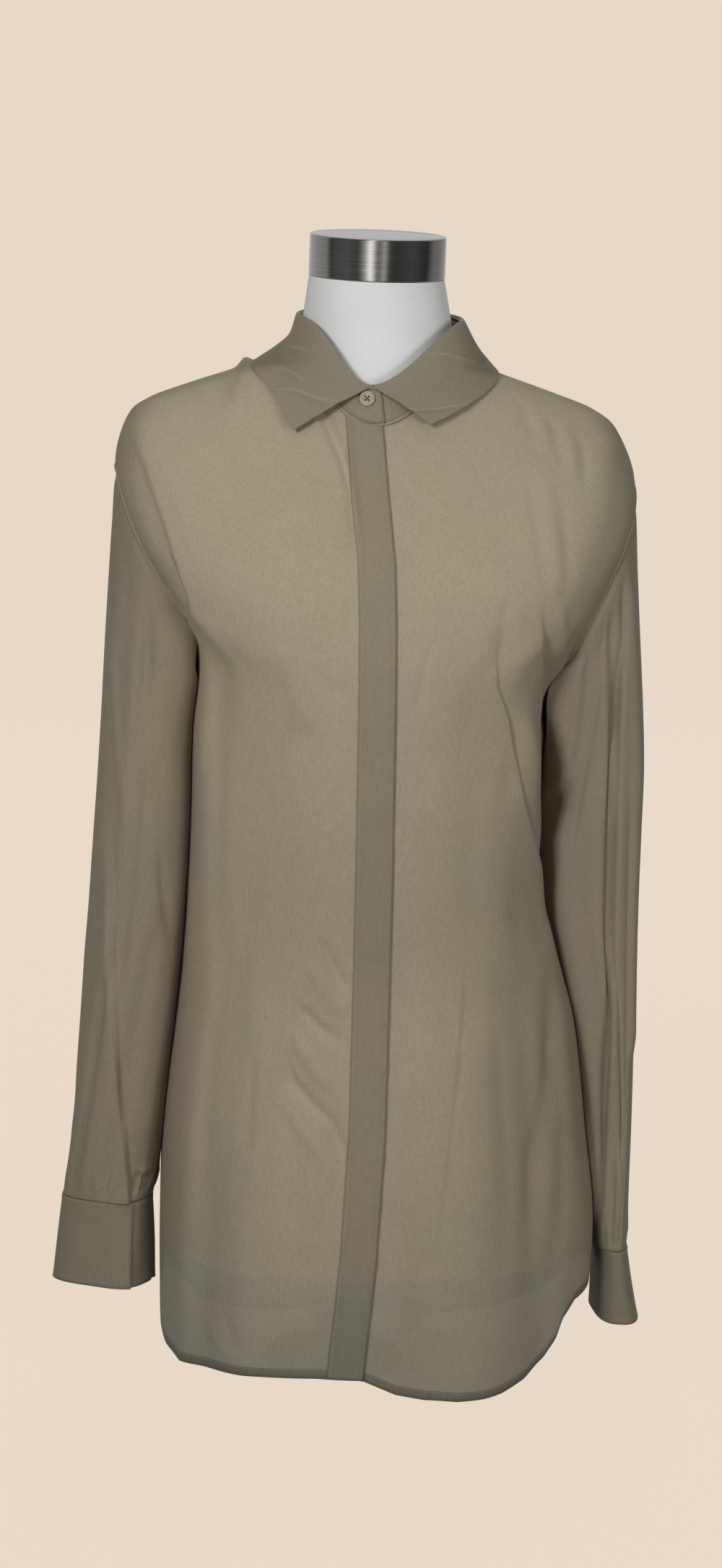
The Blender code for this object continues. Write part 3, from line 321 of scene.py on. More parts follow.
SLEEVE_CREASES = (
    # sleeve, facing (1 front, -1 back), width, depth, then points of x and drop
    ("right", 1, -14.0, 3.2, RIGHT_ARM_FOLD),
    ("right", 1, -22.0, -3.6, RIGHT_ARM_FOLD[::-1]),
    ("right", 1, 4.5, -2.4, ((-158, 470), (-154, 502), (-148, 540), (-139, 570))),
    ("right", 1, 3.4, 1.3, ((-202, 290), (-197, 345), (-192, 400), (-183, 480))),
    ("right", 1, 6.5, -1.8, ((-176, 250), (-172, 320), (-164, 400), (-158, 460))),
    ("right", 1, 2.6, -1.3, ((-166, 747), (-158, 751), (-150, 750))),
    ("right", 1, 2.6, 1.0, ((-170, 741), (-160, 745), (-151, 743))),
    ("right", 1, 7.0, 1.6, ((-210, 520), (-212, 620), (-214, 730))),
    ("right", -1, 7.0, -2.2, ((-186, 330), (-184, 450), (-190, 560), (-196, 700))),
    ("right", -1, 6.0, 2.0, ((-168, 380), (-166, 480), (-172, 600), (-178, 720))),
    ("right", -1, 4.0, -1.8, ((-198, 690), (-200, 730), (-202, 764))),
    ("right", -1, 4.0, -1.6, ((-186, 700), (-187, 735), (-188, 765))),
    ("left", 1, 3.2, -3.4, ((193, 206), (196, 250), (199, 300), (196, 335), (196, 380),
                            (195, 420))),
    ("left", 1, -15.0, -5.4, (*LEFT_ARM_FOLD, (205, 830))),
    ("left", 1, 2.8, -4.6, (*LEFT_ARM_FOLD, (205, 850))),
    ("left", 1, 4.0, 2.4, ((199, 270), (201, 330), (202, 420), (206, 560), (208, 680),
                           (211, 790))),
    ("left", 1, -14.0, 3.4, LEFT_UNDER_FOLD),
    ("left", 1, -10.0, -2.4, LEFT_UNDER_FOLD[::-1]),
    ("left", 1, -12.0, -2.4, ((182, 240), (182, 339), (177, 385), (171, 430), (165, 490))),
    ("left", 1, 3.0, -2.0, ((208, 380), (212, 470), (217, 590), (222, 720), (224, 790))),
    ("left", -1, 6.0, -2.2, ((205, 300), (204, 420), (211, 560), (217, 700))),
    ("left", -1, 6.0, 2.0, ((190, 340), (188, 450), (200, 580), (212, 720))),
    ("left", -1, 3.6, -1.6, ((222, 730), (222, 765), (222, 798))),
)

PAINTED_GLOW_BY_DROP = (
    # drop, strength of the painted light that stands for the form's paleness showing through
    (80, 0.88), (210, 0.90), (330, 1.02), (420, 1.34), (600, 1.26), (680, 1.06), (740, 0.84),
    (806, 0.76),
)
# How fast the painted glow of the form fades with its distance, how much painted glow a sleeve and
# a cuff get, and how much painted light the free right flank gets.
NEAR_REACH, SLEEVE_PAINTED_GLOW, CUFF_PAINTED_GLOW, FLANK_PAINTED_LIGHT = 30.0, 0.12, 0.18, 0.42


# ---- shapes shared by the cloth pieces ----

def smooth(value):
    value = np.clip(value, 0.0, 1.0)
    return value * value * (3.0 - 2.0 * value)


def hill(value):
    """A bell of height 1 about 0."""
    return np.exp(-(value ** 2))


def faded_ends(part):
    """The strength of a crease at this share of its length: nothing at both ends."""
    return smooth(part / 0.3) * smooth((1.0 - part) / 0.3)


def along(rows, place):
    """Rows of numbers read at fractional places, on one smooth curve through them."""
    rows = np.asarray(rows, float)
    place = np.clip(np.asarray(place, float), 0.0, len(rows) - 1.0)
    low = np.minimum(place.astype(int), len(rows) - 2)
    part = (place - low)[..., None]
    before = rows[np.maximum(low - 1, 0)]
    start, end = rows[low], rows[low + 1]
    after = rows[np.minimum(low + 2, len(rows) - 1)]
    slope_in = np.where((low == 0)[..., None], end - start, (end - before) / 2)
    slope_out = np.where((low == len(rows) - 2)[..., None], end - start, (after - start) / 2)
    two, three = part ** 2, part ** 3
    return ((2 * three - 3 * two + 1) * start + (three - 2 * two + part) * slope_in
            + (3 * two - 2 * three) * end + (three - two) * slope_out)


def table_at(table, value):
    return np.interp(value, [row[0] for row in table], [row[1] for row in table])


def ring_point(ring, angle):
    """The point at this angle on a ring of half widths, depths and drops."""
    right, left, front, back, square, drop_r, drop_l, drop_f, drop_b, spread = np.moveaxis(
        np.asarray(ring, float), -1, 0)
    sine, cosine = np.sin(np.radians(angle)), np.cos(np.radians(angle))
    reach = np.maximum(1.0 - np.abs(sine) ** square, 0.0) ** (1.0 / square)
    x = np.where(sine < 0, right, left) * sine
    y = np.where(cosine > 0, -front, back) * reach
    side = np.where(sine < 0, drop_r, drop_l)
    middle = np.where(cosine > 0, drop_f, drop_b)
    drop = side + (middle - side) * reach ** spread
    return np.stack([x, y, CAP_TOP - drop], -1)


def fold_height(folds, angle, drop, mm_per_degree):
    """How far the broad folds, longer than they are wide, move the cloth out here."""
    height = np.zeros(np.broadcast(angle, drop).shape)
    for _, top_angle, top_drop, low_angle, low_drop, width, depth in folds:
        turn = (np.asarray(angle) - top_angle + 180.0) % 360.0 - 180.0
        run = np.array([(low_angle - top_angle) * mm_per_degree, low_drop - top_drop])
        place = np.stack([turn * mm_per_degree, np.asarray(drop) - top_drop + 0 * turn], -1)
        length = float(run @ run)
        part = np.clip(place @ run / length, 0.0, 1.0)
        off = place - part[..., None] * run
        away = np.hypot(off[..., 0], off[..., 1] * 0.45)
        height = height + depth * hill(away / width)
    return height


def crease_height(creases, x, drop):
    """How far fine creases, drawn as lines of x and drop, move the cloth out here."""
    height = np.zeros(np.shape(x))
    for width, depth, points in creases:
        points = np.array(points, float)
        steps = points[1:] - points[:-1]
        lengths = np.hypot(steps[:, 0], steps[:, 1])
        total, done = lengths.sum(), 0.0
        nearest = np.full(np.shape(x), 1e9)
        place, beside = np.zeros(np.shape(x)), np.zeros(np.shape(x))
        for start, step, length in zip(points, steps, lengths):
            part = ((x - start[0]) * step[0] + (drop - start[1]) * step[1]) / length ** 2
            part = np.clip(part, 0.0, 1.0)
            away = np.hypot(x - start[0] - part * step[0], drop - start[1] - part * step[1])
            closer = away < nearest
            nearest = np.where(closer, away, nearest)
            place = np.where(closer, (done + part * length) / total, place)
            side = (x - start[0]) * step[1] - (drop - start[1]) * step[0]
            beside = np.where(closer, side, beside)
            done += length
        wide = abs(width) * (0.75 + 0.5 * place)
        profile = hill(nearest / wide)
        if width < 0:
            profile = np.where(beside < 0, np.exp(-((nearest / wide) ** 1.5)),
                               hill(nearest / CRISP_EDGE))
        height = height + depth * faded_ends(place) * profile
    return height


def slack(across, down, amount):
    """Soft unevenness of limp cloth, from a few slow waves that never line up."""
    waves = ((0.021, 0.0040, 0.3, 1.0), (0.034, -0.0065, 1.9, 0.7), (0.058, 0.0091, 4.1, 0.42),
             (0.087, -0.0132, 2.6, 0.26), (0.131, 0.0211, 5.2, 0.13))
    height = 0.0
    for quick, slow, phase, size in waves:
        bend = 0.8 * np.sin(down * slow * 1.7 + phase * 2.0)
        height = height + size * np.sin(across * quick * 2.0 + down * slow + phase + bend)
    return height * amount


SHIRT = np.array([row[1:] for row in SHIRT_RINGS], float)
LAST_LEVEL = len(SHIRT) - 1.0
FRONT_DROP = 7  # the column of the front drops
FORM = np.array([(row[1], row[1]) + row[2:5] + (row[5],) * 2 + row[6:9]
                 for row in FORM_RINGS], float)


def shirt_base(level, angle):
    return ring_point(along(SHIRT, level), angle)


def normals_of(surface, level, angle):
    """Outward unit normals of a surface given by level and angle."""
    low, high = np.clip([level - 0.02, level + 0.02], 0.0, LAST_LEVEL)
    down = surface(high, angle) - surface(low, angle)
    round_ = surface(level, angle + 0.6) - surface(level, angle - 0.6)
    normal = np.cross(down, round_)
    return normal / np.linalg.norm(normal, axis=-1, keepdims=True)


def shirt_surface(level, angle):
    """The body's cloth with all its folds, and its outward directions."""
    level, angle = np.broadcast_arrays(np.asarray(level, float), np.asarray(angle, float))
    point = shirt_base(level, angle)
    drop = CAP_TOP - point[..., 2]
    calm = smooth((drop - 185.0) / 60.0)
    height = fold_height(BODY_FOLDS, angle, drop, 2.3) * calm
    facing = np.cos(np.radians(angle))
    front = smooth(0.5 + facing * 4.0)
    for creases, share in ((FRONT_CREASES, front), (BACK_CREASES, 1.0 - front)):
        height = height + crease_height([row[1:] for row in creases], point[..., 0], drop) * share
    turned = (angle + 180.0) % 360.0 - 180.0
    limp = smooth((drop - 240.0) / 160.0)
    height = height + slack(turned * 2.3, drop, 0.8) * limp * smooth((np.abs(turned) - 5.0) / 14.0)
    out = normals_of(shirt_base, level, angle)
    return point + out * height[..., None], out


def level_at(drop, first=8.0, count=400):
    """The level whose ring lies at this drop."""
    levels = np.linspace(first, LAST_LEVEL, count)
    return np.interp(drop, along(SHIRT, levels)[:, FRONT_DROP], levels)


def hem_level(angle):
    """The level at which the cloth ends at this angle."""
    angle = (np.asarray(angle, float) + 180.0) % 360.0 - 180.0
    return level_at(table_at(HEM, angle))


def last_level(angle_of, parts):
    """The hem's level along a panel, whose angles themselves change with the level."""
    last = np.full(len(parts), 13.0)
    for _ in range(12):
        last = hem_level(angle_of(last, parts))
    return last


def side_angle(level, side):
    shift = smooth((np.asarray(level, float) - 7.0) / 6.0)
    return side * (90.0 + (12.0 if side < 0 else 1.0) * shift)


def armhole_reach(level, half):
    height = np.clip(1.0 - (np.asarray(level, float) - ARM_MID) ** 2, 0.0, 1.0)
    return half * np.sqrt(height)


def placket_angle(level, offset):
    """The angle of a line that runs beside the placket's centre."""
    ring = along(SHIRT, level)
    x = table_at(PLACKET_CENTRE, ring[..., FRONT_DROP]) + offset
    half = np.where(x < 0, ring[..., 0], ring[..., 1])
    return np.degrees(np.arcsin(x / half))


def front_angle(side, start_offset):
    def angle_of(level, part):
        edge = side_angle(level, side) - side * armhole_reach(level, ARMHOLE_FRONT)
        start = placket_angle(level, start_offset)
        return start + (edge - start) * part
    return angle_of


def back_angle(level, part):
    """From the right side seam (-1) round the back to the left one (1)."""
    reach = armhole_reach(level, ARMHOLE_BACK)
    right = 180.0 + side_angle(level, -1) - reach
    left = 180.0 - side_angle(level, 1) - reach
    turned = np.where(part < 0, -part * right, -part * left)
    return np.where(turned > 0, turned - 180.0, 180.0 + turned)


def strip_angle(level, part):
    return placket_angle(level, PLACKET_HALF * part)


def panel_places(angle_of, parts, low_rows, hem_only=None):
    """Levels and angles of a fine grid over one panel of the body, or over its turned hem."""
    last = last_level(angle_of, parts)
    drops = along(SHIRT, last)[:, FRONT_DROP]
    if hem_only is not None:
        # The turned hem is a band whose upper edge runs a set height above the hem.
        level = level_at(drops[None, :] + np.linspace(-hem_only, 0.0, low_rows)[:, None])
        return level, angle_of(level, np.broadcast_to(parts, level.shape))
    upper = list(np.linspace(0.0, ARM_TOP, 44)[:-1])
    upper += [ARM_MID - math.cos(math.pi * k / ARM_FINE) for k in range(ARM_FINE + 1)]
    rows = [np.full(len(parts), value) for value in upper]
    fold, under_fold, inside = [level_at(drops - above)
                                for above in (HEM_TURN + 0.25, HEM_TURN - 0.25, HEM_TURN / 2)]
    for step in range(1, low_rows - 2):
        rows.append(ARM_BOTTOM + (fold - ARM_BOTTOM) * step / (low_rows - 3))
    rows += [under_fold, inside, last]
    level = np.array(rows)
    return level, angle_of(level, np.broadcast_to(parts, level.shape))


# ---- making meshes ----

def linked(name, data):
    obj = bpy.data.objects.new(name, data)
    bpy.context.collection.objects.link(obj)
    return obj


def add_piece(name, points, faces, stuff, smooth_shaded=True):
    mesh = bpy.data.meshes.new(name)
    mesh.from_pydata([tuple(p) for p in np.asarray(points) * MM], [], faces)
    mesh.validate()
    if smooth_shaded:
        mesh.shade_smooth()
    mesh.materials.append(stuff)
    return linked(name, mesh)


def grid_faces(rows, columns, closed):
    """Quads of a sheet with two faces and a rim, the outer points first."""
    width = columns if closed else columns - 1
    row, column = np.meshgrid(np.arange(rows - 1), np.arange(width), indexing="ij")
    a = row * columns + column
    b = row * columns + (column + 1) % columns
    c, d = b + columns, a + columns
    count = rows * columns
    faces = [np.stack([a, d, c, b], -1).reshape(-1, 4),
             count + np.stack([a, b, c, d], -1).reshape(-1, 4)]
    column = np.arange(width)
    a, b = column, (column + 1) % columns
    faces.append(np.stack([a, b, count + b, count + a], -1))
    a, b = a + (rows - 1) * columns, b + (rows - 1) * columns
    faces.append(np.stack([b, a, count + a, count + b], -1))
    if not closed:
        row = np.arange(rows - 1)
        a, b = row * columns, (row + 1) * columns
        faces.append(np.stack([b, a, count + a, count + b], -1))
        a, b = a + columns - 1, b + columns - 1
        faces.append(np.stack([a, b, count + b, count + a], -1))
    return np.concatenate(faces).tolist()


def note(piece, label, values):
    """Writes one number for each point of the piece, for its cloth to read."""
    layer = piece.data.attributes.new(label, "FLOAT", "POINT")
    layer.data.foreach_set("value", np.asarray(values, np.float32))


def cloth_piece(name, middle, normals, wall, stuff, closed=False, hem_rows=0, turned_over=False):
    """A thin sheet of cloth about a grid of middle points, its last rows doubled by a hem.

    A grid whose columns run the other way round is turned over, so that its faces look out.
    """
    if turned_over:
        middle, normals = middle[:, ::-1], normals[:, ::-1]
    rows, columns = middle.shape[:2]
    outer = (middle + normals * wall / 2).reshape(-1, 3)
    inner = (middle - normals * wall / 2).reshape(-1, 3)
    piece = add_piece(name, np.concatenate([outer, inner]),
                      grid_faces(rows, columns, closed), stuff)
    doubled = np.zeros((2, rows, columns))
    doubled[:, rows - hem_rows:] = 1.0
    note(piece, "doubled", doubled.reshape(-1))
    return piece


def mark_painted_light(form, pieces):
    """Notes painted light at each point of the cloth: a glow by how near the form is, from 1 where
    it touches, and a cool backlight below the form.
    """
    tree = BVHTree.FromPolygons([v.co for v in form.data.vertices],
                                [p.vertices for p in form.data.polygons])
    foot = (CAP_TOP - FORM_FOOT_DROP) * MM
    for piece in pieces:
        points = [vertex.co for vertex in piece.data.vertices]
        away = np.array([tree.find_nearest(point)[3] for point in points]) / MM
        high = np.array([point.z for point in points])
        half = table_at([(row[5], row[1]) for row in FORM_RINGS], CAP_TOP - high / MM)
        across = np.array([point.x for point in points]) / MM
        beyond = smooth((np.abs(across) - half + 8.0) / 22.0)
        drop = CAP_TOP - high / MM
        near = np.exp(-away / NEAR_REACH) * (1.0 - 0.85 * beyond) * table_at(PAINTED_GLOW_BY_DROP, drop)
        # Past the form's right side the thin cloth stands free: painted light there stands for the
        # light it lets through, against the sleeve's shade.
        painted_flank_light = smooth((-across - 0.80 * half) / 22.0) * smooth((drop - 262.0) / 60.0)
        near = near + FLANK_PAINTED_LIGHT * painted_flank_light * smooth((700.0 - drop) / 220.0)
        # The painted glow is a little weaker below the form's foot.
        above = smooth((high - foot + 0.004) / 0.008)
        near = near * (0.85 + 0.15 * above)
        # Sleeves get a weaker painted glow, and cuffs a fixed painted glow of their own.
        near = (near * (SLEEVE_PAINTED_GLOW if "sleeve" in piece.name else 1.0)
                + CUFF_PAINTED_GLOW * ("cuff" in piece.name))
        # Painted backlight: the body's cloth below the form is tinted cooler, where only the
        # backdrop lies behind it.
        below = (1.0 - above) * (np.abs([point.x for point in points]) < half.max() * MM)
        below = below * ("sleeve" not in piece.name and "cuff" not in piece.name)
        note(piece, "near_form", near)
        note(piece, "below_form", below)


def grid_normals(points, closed=False):
    down = np.gradient(points, axis=0)
    if closed:
        across = np.roll(points, -1, axis=1) - np.roll(points, 1, axis=1)
    else:
        across = np.gradient(points, axis=1)
    normal = np.cross(down, across)
    return normal / np.linalg.norm(normal, axis=-1, keepdims=True)


def draw_in(edge, inner, amount):
    step = inner - edge
    return edge + step / np.linalg.norm(step, axis=-1, keepdims=True) * amount


def tube_faces(rings, segments, downward=False):
    """The faces of a closed solid whose rings go up, or down, from the first to the last."""
    faces = []
    for ring in range(rings - 1):
        for step in range(segments):
            a, b = ring * segments + step, ring * segments + (step + 1) % segments
            quad = (a, b, b + segments, a + segments)
            faces.append((a, *quad[:0:-1]) if downward else quad)
    way = -1 if downward else 1
    faces.append(tuple(range(segments))[::-way])
    faces.append(tuple(range((rings - 1) * segments, rings * segments))[::way])
    return faces


def turned(name, profile, segments, stuff, place=(0, 0, 0)):
    """A turned solid from a profile of radius and height, from the axis out and back."""
    points = []
    for radius, height in profile[1:-1]:
        for step in range(segments):
            turn = 2 * math.pi * step / segments
            points.append((radius * math.cos(turn) + place[0],
                           radius * math.sin(turn) + place[1], height + place[2]))
    return add_piece(name, np.array(points, float), tube_faces(len(profile) - 2, segments), stuff)


def finished_mesh(obj):
    bpy.context.view_layer.update()
    graph = bpy.context.evaluated_depsgraph_get()
    return bpy.data.meshes.new_from_object(obj.evaluated_get(graph))


def crisp(obj, degrees):
    """Keeps turned edges crisp on a smooth-shaded piece."""
    mesh = bmesh.new()
    mesh.from_mesh(obj.data)
    for edge in mesh.edges:
        if len(edge.link_faces) == 2 and edge.calc_face_angle(0.0) > math.radians(degrees):
            edge.smooth = False
    mesh.to_mesh(obj.data)
    mesh.free()


# ---- cloth and finishes ----

def fill(tree, node, values):
    """Sets a node's lower-case settings, and its inputs by number or label.

    An input that is given another node's socket is linked to it.
    """
    for key, value in values:
        if isinstance(key, str) and key[0].islower():
            setattr(node, key, value)
            continue
        socket = node.inputs[key.replace("_", " ") if isinstance(key, str) else key]
        if isinstance(value, bpy.types.NodeSocket):
            tree.links.new(value, socket)
        else:
            socket.default_value = value


def adder(tree):
    """A helper that adds a node to this tree and gives back one of its outputs."""
    def add(kind, *numbered, out=0, **named):
        node = tree.nodes.new(kind if "Node" in kind else "ShaderNode" + kind)
        fill(tree, node, [*enumerate(numbered), *named.items()])
        return node if out is None else node.outputs[out]
    return add


def new_material(name):
    """Helpers that add a node and that finish the shader, and the piece's own coordinates."""
    stuff = bpy.data.materials.new(name)
    stuff.use_nodes = True
    tree = stuff.node_tree
    add = adder(tree)

    def finish(**inputs):
        fill(tree, tree.nodes["Principled BSDF"], inputs.items())
        return stuff

    return add, finish, add("TexCoord", out="Object")


def tone(add, factor, dark, light):
    node = add("ValToRGB", factor, out=None)
    for element, place, colour in zip(node.color_ramp.elements, (0.3, 0.7), (dark, light)):
        element.color = (*colour, 1.0)
        element.position = place
    return node.outputs["Color"]


def blend(add, one, share, other):
    rest = add("Math", other, 1.0 - share, operation="MULTIPLY")
    return add("Math", one, share, rest, operation="MULTIPLY_ADD")


def scaled_by(add, label, gain):
    """One plus the gain times a number noted on the piece."""
    noted = add("Attribute", attribute_name=label, out="Fac")
    return add("Math", noted, gain, 1.0, operation="MULTIPLY_ADD")


def noise(add, spot, scale, detail, **more):
    return add("TexNoise", Vector=spot, Scale=scale, Detail=detail, **more)


def crepe(name, dark, light, alpha, grain=1.0, painted_glow=0.0):
    """Matt crepe: a pebbled grain of twisted yarn over a fine uneven weave.

    Painted light makes the thin cloth lighter where the white form lies close behind it, and
    cooler below the form; the collar's pressed lines carry a painted highlight.
    """
    add, finish, spot = new_material(name)
    slub = add("Mapping", Vector=spot, Scale=(1.0, 1.0, 0.16))
    pebble = noise(add, spot, 540.0, 2.0, Roughness=0.65)
    yarn = noise(add, slub, 760.0, 2.0, Roughness=0.6)
    weave = blend(add, pebble, 0.55, yarn)
    shade = blend(add, noise(add, spot, 34.0, 3.0), 0.12, weave)
    # Painted light: the cloth is made paler where the form lies close behind it.
    near = add("Attribute", attribute_name="near_form", out="Fac")
    lit = add("MapRange", near, To_Min=1.0, To_Max=1.0 + painted_glow)
    # Painted highlight on the collar's pressed lines, and the darker tone of doubled cloth.
    crease_highlight_and_doubling = add("Math", scaled_by(add, "pressed", 0.38), scaled_by(add, "doubled", -0.36),
               operation="MULTIPLY")
    # Painted backlight: a cooler tint below the form.
    past = add("Attribute", attribute_name="below_form", out="Fac")
    backlight_tint = tone(add, past, (1.0, 1.0, 1.0), (0.935, 0.99, 1.05))
    cast = tone(add, noise(add, spot, 11.0, 1.5), (0.970, 0.992, 0.985), (1.030, 1.002, 0.990))
    dyed = add("VectorMath", tone(add, shade, dark, light), cast, operation="MULTIPLY")
    backlight_tinted = add("VectorMath", backlight_tint, dyed, operation="MULTIPLY")
    bright = add("VectorMath", backlight_tinted, operation="SCALE",
                 Scale=add("Math", lit, crease_highlight_and_doubling, operation="MULTIPLY"))
    return finish(
        Base_Color=bright, Roughness=0.78, Specular_IOR_Level=0.22, Sheen_Weight=0.18,
        Sheen_Roughness=0.45, Sheen_Tint=(0.80, 0.76, 0.66, 1.0), Alpha=alpha,
        Normal=add("Bump", Strength=0.32 * grain, Distance=0.0006, Height=weave))


def jersey():
    """Fine white knit, its wales running up the form."""
    add, finish, spot = new_material("white_jersey")
    fine = add("Mapping", Vector=spot, Scale=(1.0, 1.0, 0.35))
    knit = noise(add, fine, 1100.0, 2.0, Roughness=0.6)
    both = blend(add, knit, 0.5, noise(add, spot, 22.0, 2.0))
    return finish(Base_Color=tone(add, both, (0.74, 0.76, 0.77), (0.86, 0.88, 0.89)),
                  Roughness=0.85, Sheen_Weight=0.25, Sheen_Roughness=0.4,
                  Normal=add("Bump", Strength=0.25, Distance=0.0004, Height=knit))


def brushed_steel(name, lines):
    """Steel brushed round its axis: long fine scratches, uneven in shine."""
    add, finish, spot = new_material(name)
    ring = add("Mapping", Vector=spot, Scale=lines)
    scratch = noise(add, ring, 1.0, 4.0, Roughness=0.7)
    rough = add("MapRange", scratch, From_Min=0.3, From_Max=0.7, To_Min=0.10, To_Max=0.22)
    return finish(Base_Color=tone(add, scratch, (0.36, 0.35, 0.33), (0.60, 0.585, 0.56)),
                  Roughness=rough, Metallic=1.0,
                  Normal=add("Bump", Strength=0.12, Distance=0.0002, Height=scratch))


def button_shell():
    """Polished taupe button stuff with faint clouded streaks."""
    add, finish, spot = new_material("taupe_button")
    cloud = noise(add, spot, 260.0, 3.0, Distortion=1.2)
    return finish(Base_Color=tone(add, cloud, (0.36, 0.315, 0.245), (0.50, 0.445, 0.355)),
                  Roughness=0.32, Coat_Weight=0.25, Coat_Roughness=0.15)


def thread(name, dark, light):
    add, finish, spot = new_material(name)
    return finish(Base_Color=tone(add, noise(add, spot, 2400.0, 1.0), dark, light),
                  Roughness=0.6, Sheen_Weight=0.2)


def enamel():
    add, finish, spot = new_material("pale_enamel")
    worn = noise(add, spot, 46.0, 4.0)
    peel = noise(add, spot, 420.0, 2.0)
    return finish(Base_Color=tone(add, worn, (0.66, 0.645, 0.61), (0.76, 0.745, 0.71)),
                  Roughness=0.38,
                  Normal=add("Bump", Strength=0.15, Distance=0.0003, Height=peel))


# The crepes below get a painted glow where the form lies close behind them.
CREPE = crepe("taupe_crepe", (0.268, 0.233, 0.169), (0.350, 0.309, 0.232), 0.86, 0.8, 0.66)
DOUBLE_CREPE = crepe("taupe_crepe_doubled", (0.189, 0.164, 0.121), (0.237, 0.209, 0.159), 0.95,
                     0.7, 0.66)
HEM_CREPE = crepe("taupe_crepe_hem", (0.205, 0.174, 0.118), (0.28, 0.243, 0.172), 0.75)
# The welts along the seams are paler than the cloth: a painted highlight along each seam.
SEAM_CREPE_PAINTED_HIGHLIGHT = crepe("taupe_crepe_seam", (0.300, 0.262, 0.192), (0.420, 0.374, 0.284), 1.0, 0.6)
JERSEY = jersey()
STEEL_SIDE = brushed_steel("steel_brushed_round", (14.0, 14.0, 2600.0))
STEEL_TUBE = brushed_steel("steel_tube", (18.0, 18.0, 1500.0))
BUTTON_STUFF = button_shell()
SEWING_THREAD = thread("taupe_sewing_thread", (0.36, 0.32, 0.245), (0.54, 0.49, 0.39))
BUTTON_THREAD = thread("dark_button_thread", (0.030, 0.026, 0.021), (0.060, 0.052, 0.042))
ENAMEL = enamel()


# ---- the shirt ----

def keep(obj, slot_name, *stands_for):
    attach(obj, "root")
    if stands_for:
        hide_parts(*stands_for)
    return obj


def panel_and_hem(name, angle_of, parts, low_rows, turned_over, under=0.0):
    """A panel of the body, and the turned hem inside its lower edge."""
    under = np.broadcast_to(under, len(parts))[None, :, None]
    points, out = shirt_surface(*panel_places(angle_of, parts, low_rows))
    points[0] = draw_in(points[0], points[1], SEAM_ROOM)
    panel = cloth_piece(f"{name}_crepe", points + out * under, out, CREPE_WALL, CREPE,
                        hem_rows=3, turned_over=turned_over)
    points, out = shirt_surface(*panel_places(angle_of, parts, 6, HEM_TURN))
    hem = cloth_piece(f"{name}_turned_hem", points + out * (under - HEM_INSIDE), out, CREPE_WALL,
                      HEM_CREPE, turned_over=turned_over)
    return panel, hem


def make_front(which, side):
    """A front from the fly to the side seam. The left one runs on under the right one."""
    parts = np.linspace(0.0, 1.0, 140)
    under = smooth(1.0 - parts * 14.0) * (0.0 if side < 0 else -0.9)
    return panel_and_hem(f"{which}_front", front_angle(side, FRONT_START[side]), parts, 220,
                         side < 0, under)


def make_back():
    return panel_and_hem("back", back_angle, np.linspace(-1.0, 1.0, 171), 170, True)


def make_placket():
    """The doubled strip over the buttons: sewn down at its right, free at its left."""
    parts = np.linspace(-1.0, 1.0, 19)
    points, out = shirt_surface(*panel_places(strip_angle, parts, 190))
    lift = 0.72 + 2.9 * smooth((parts + 1.0) / 0.55) - 0.9 * smooth((parts - 0.55) / 0.45)
    drop = CAP_TOP - points[..., 2]
    bumps = np.zeros_like(drop)
    for place in FLY_BUTTON_DROPS:
        ring = np.hypot((drop - place) / 7.5, (parts[None, :] - 0.15) / 0.5)
        bumps = bumps + 0.55 * hill(ring) - 0.25 * hill((drop - place - 15) / 8)
    for place, size in PLACKET_PUCKERS:
        slope = drop - place - parts[None, :] * 2.5
        bumps = bumps + size * 1.15 * hill(slope / 5.0) * (0.45 + 0.55 * parts[None, :])
    points = points + out * (lift[None, :, None] + bumps[..., None])
    points[0] = draw_in(points[0], points[1], 0.4)
    out = -grid_normals(points)
    out = out * np.sign((out * np.array([0.0, -1.0, 0.0])).sum(-1, keepdims=True))
    return cloth_piece("fly_placket_crepe", points, out, DOUBLE_WALL, DOUBLE_CREPE)


def armhole_loop(side):
    steps = list(range(SLEEVE_FINE + 1)) + list(range(SLEEVE_FINE - 1, 0, -1))
    front = [True] * (SLEEVE_FINE + 1) + [False] * (SLEEVE_FINE - 1)
    levels = np.array([ARM_MID - math.cos(math.pi * k / SLEEVE_FINE) for k in steps])
    reach = np.where(front, armhole_reach(levels, ARMHOLE_FRONT),
                     -armhole_reach(levels, ARMHOLE_BACK))
    return shirt_surface(levels, side_angle(levels, side) - side * reach)


def sleeve_ring(row, side, turn_angle):
    """A sleeve's section at one height. The angle goes from outside over the front."""
    drop, x, y, half_width, half_depth, turn, square = row
    cosine, sine = np.cos(np.radians(turn_angle)), np.sin(np.radians(turn_angle))
    size = (np.abs(cosine) ** square + np.abs(sine) ** square) ** (-1.0 / square)
    out = side * half_width * cosine * size
    front = -half_depth * sine * size
    c, s = math.cos(math.radians(turn)), math.sin(math.radians(turn))
    return np.stack([x + out * c - front * s, y + out * s + front * c,
                     np.full_like(out, CAP_TOP - drop)], -1)


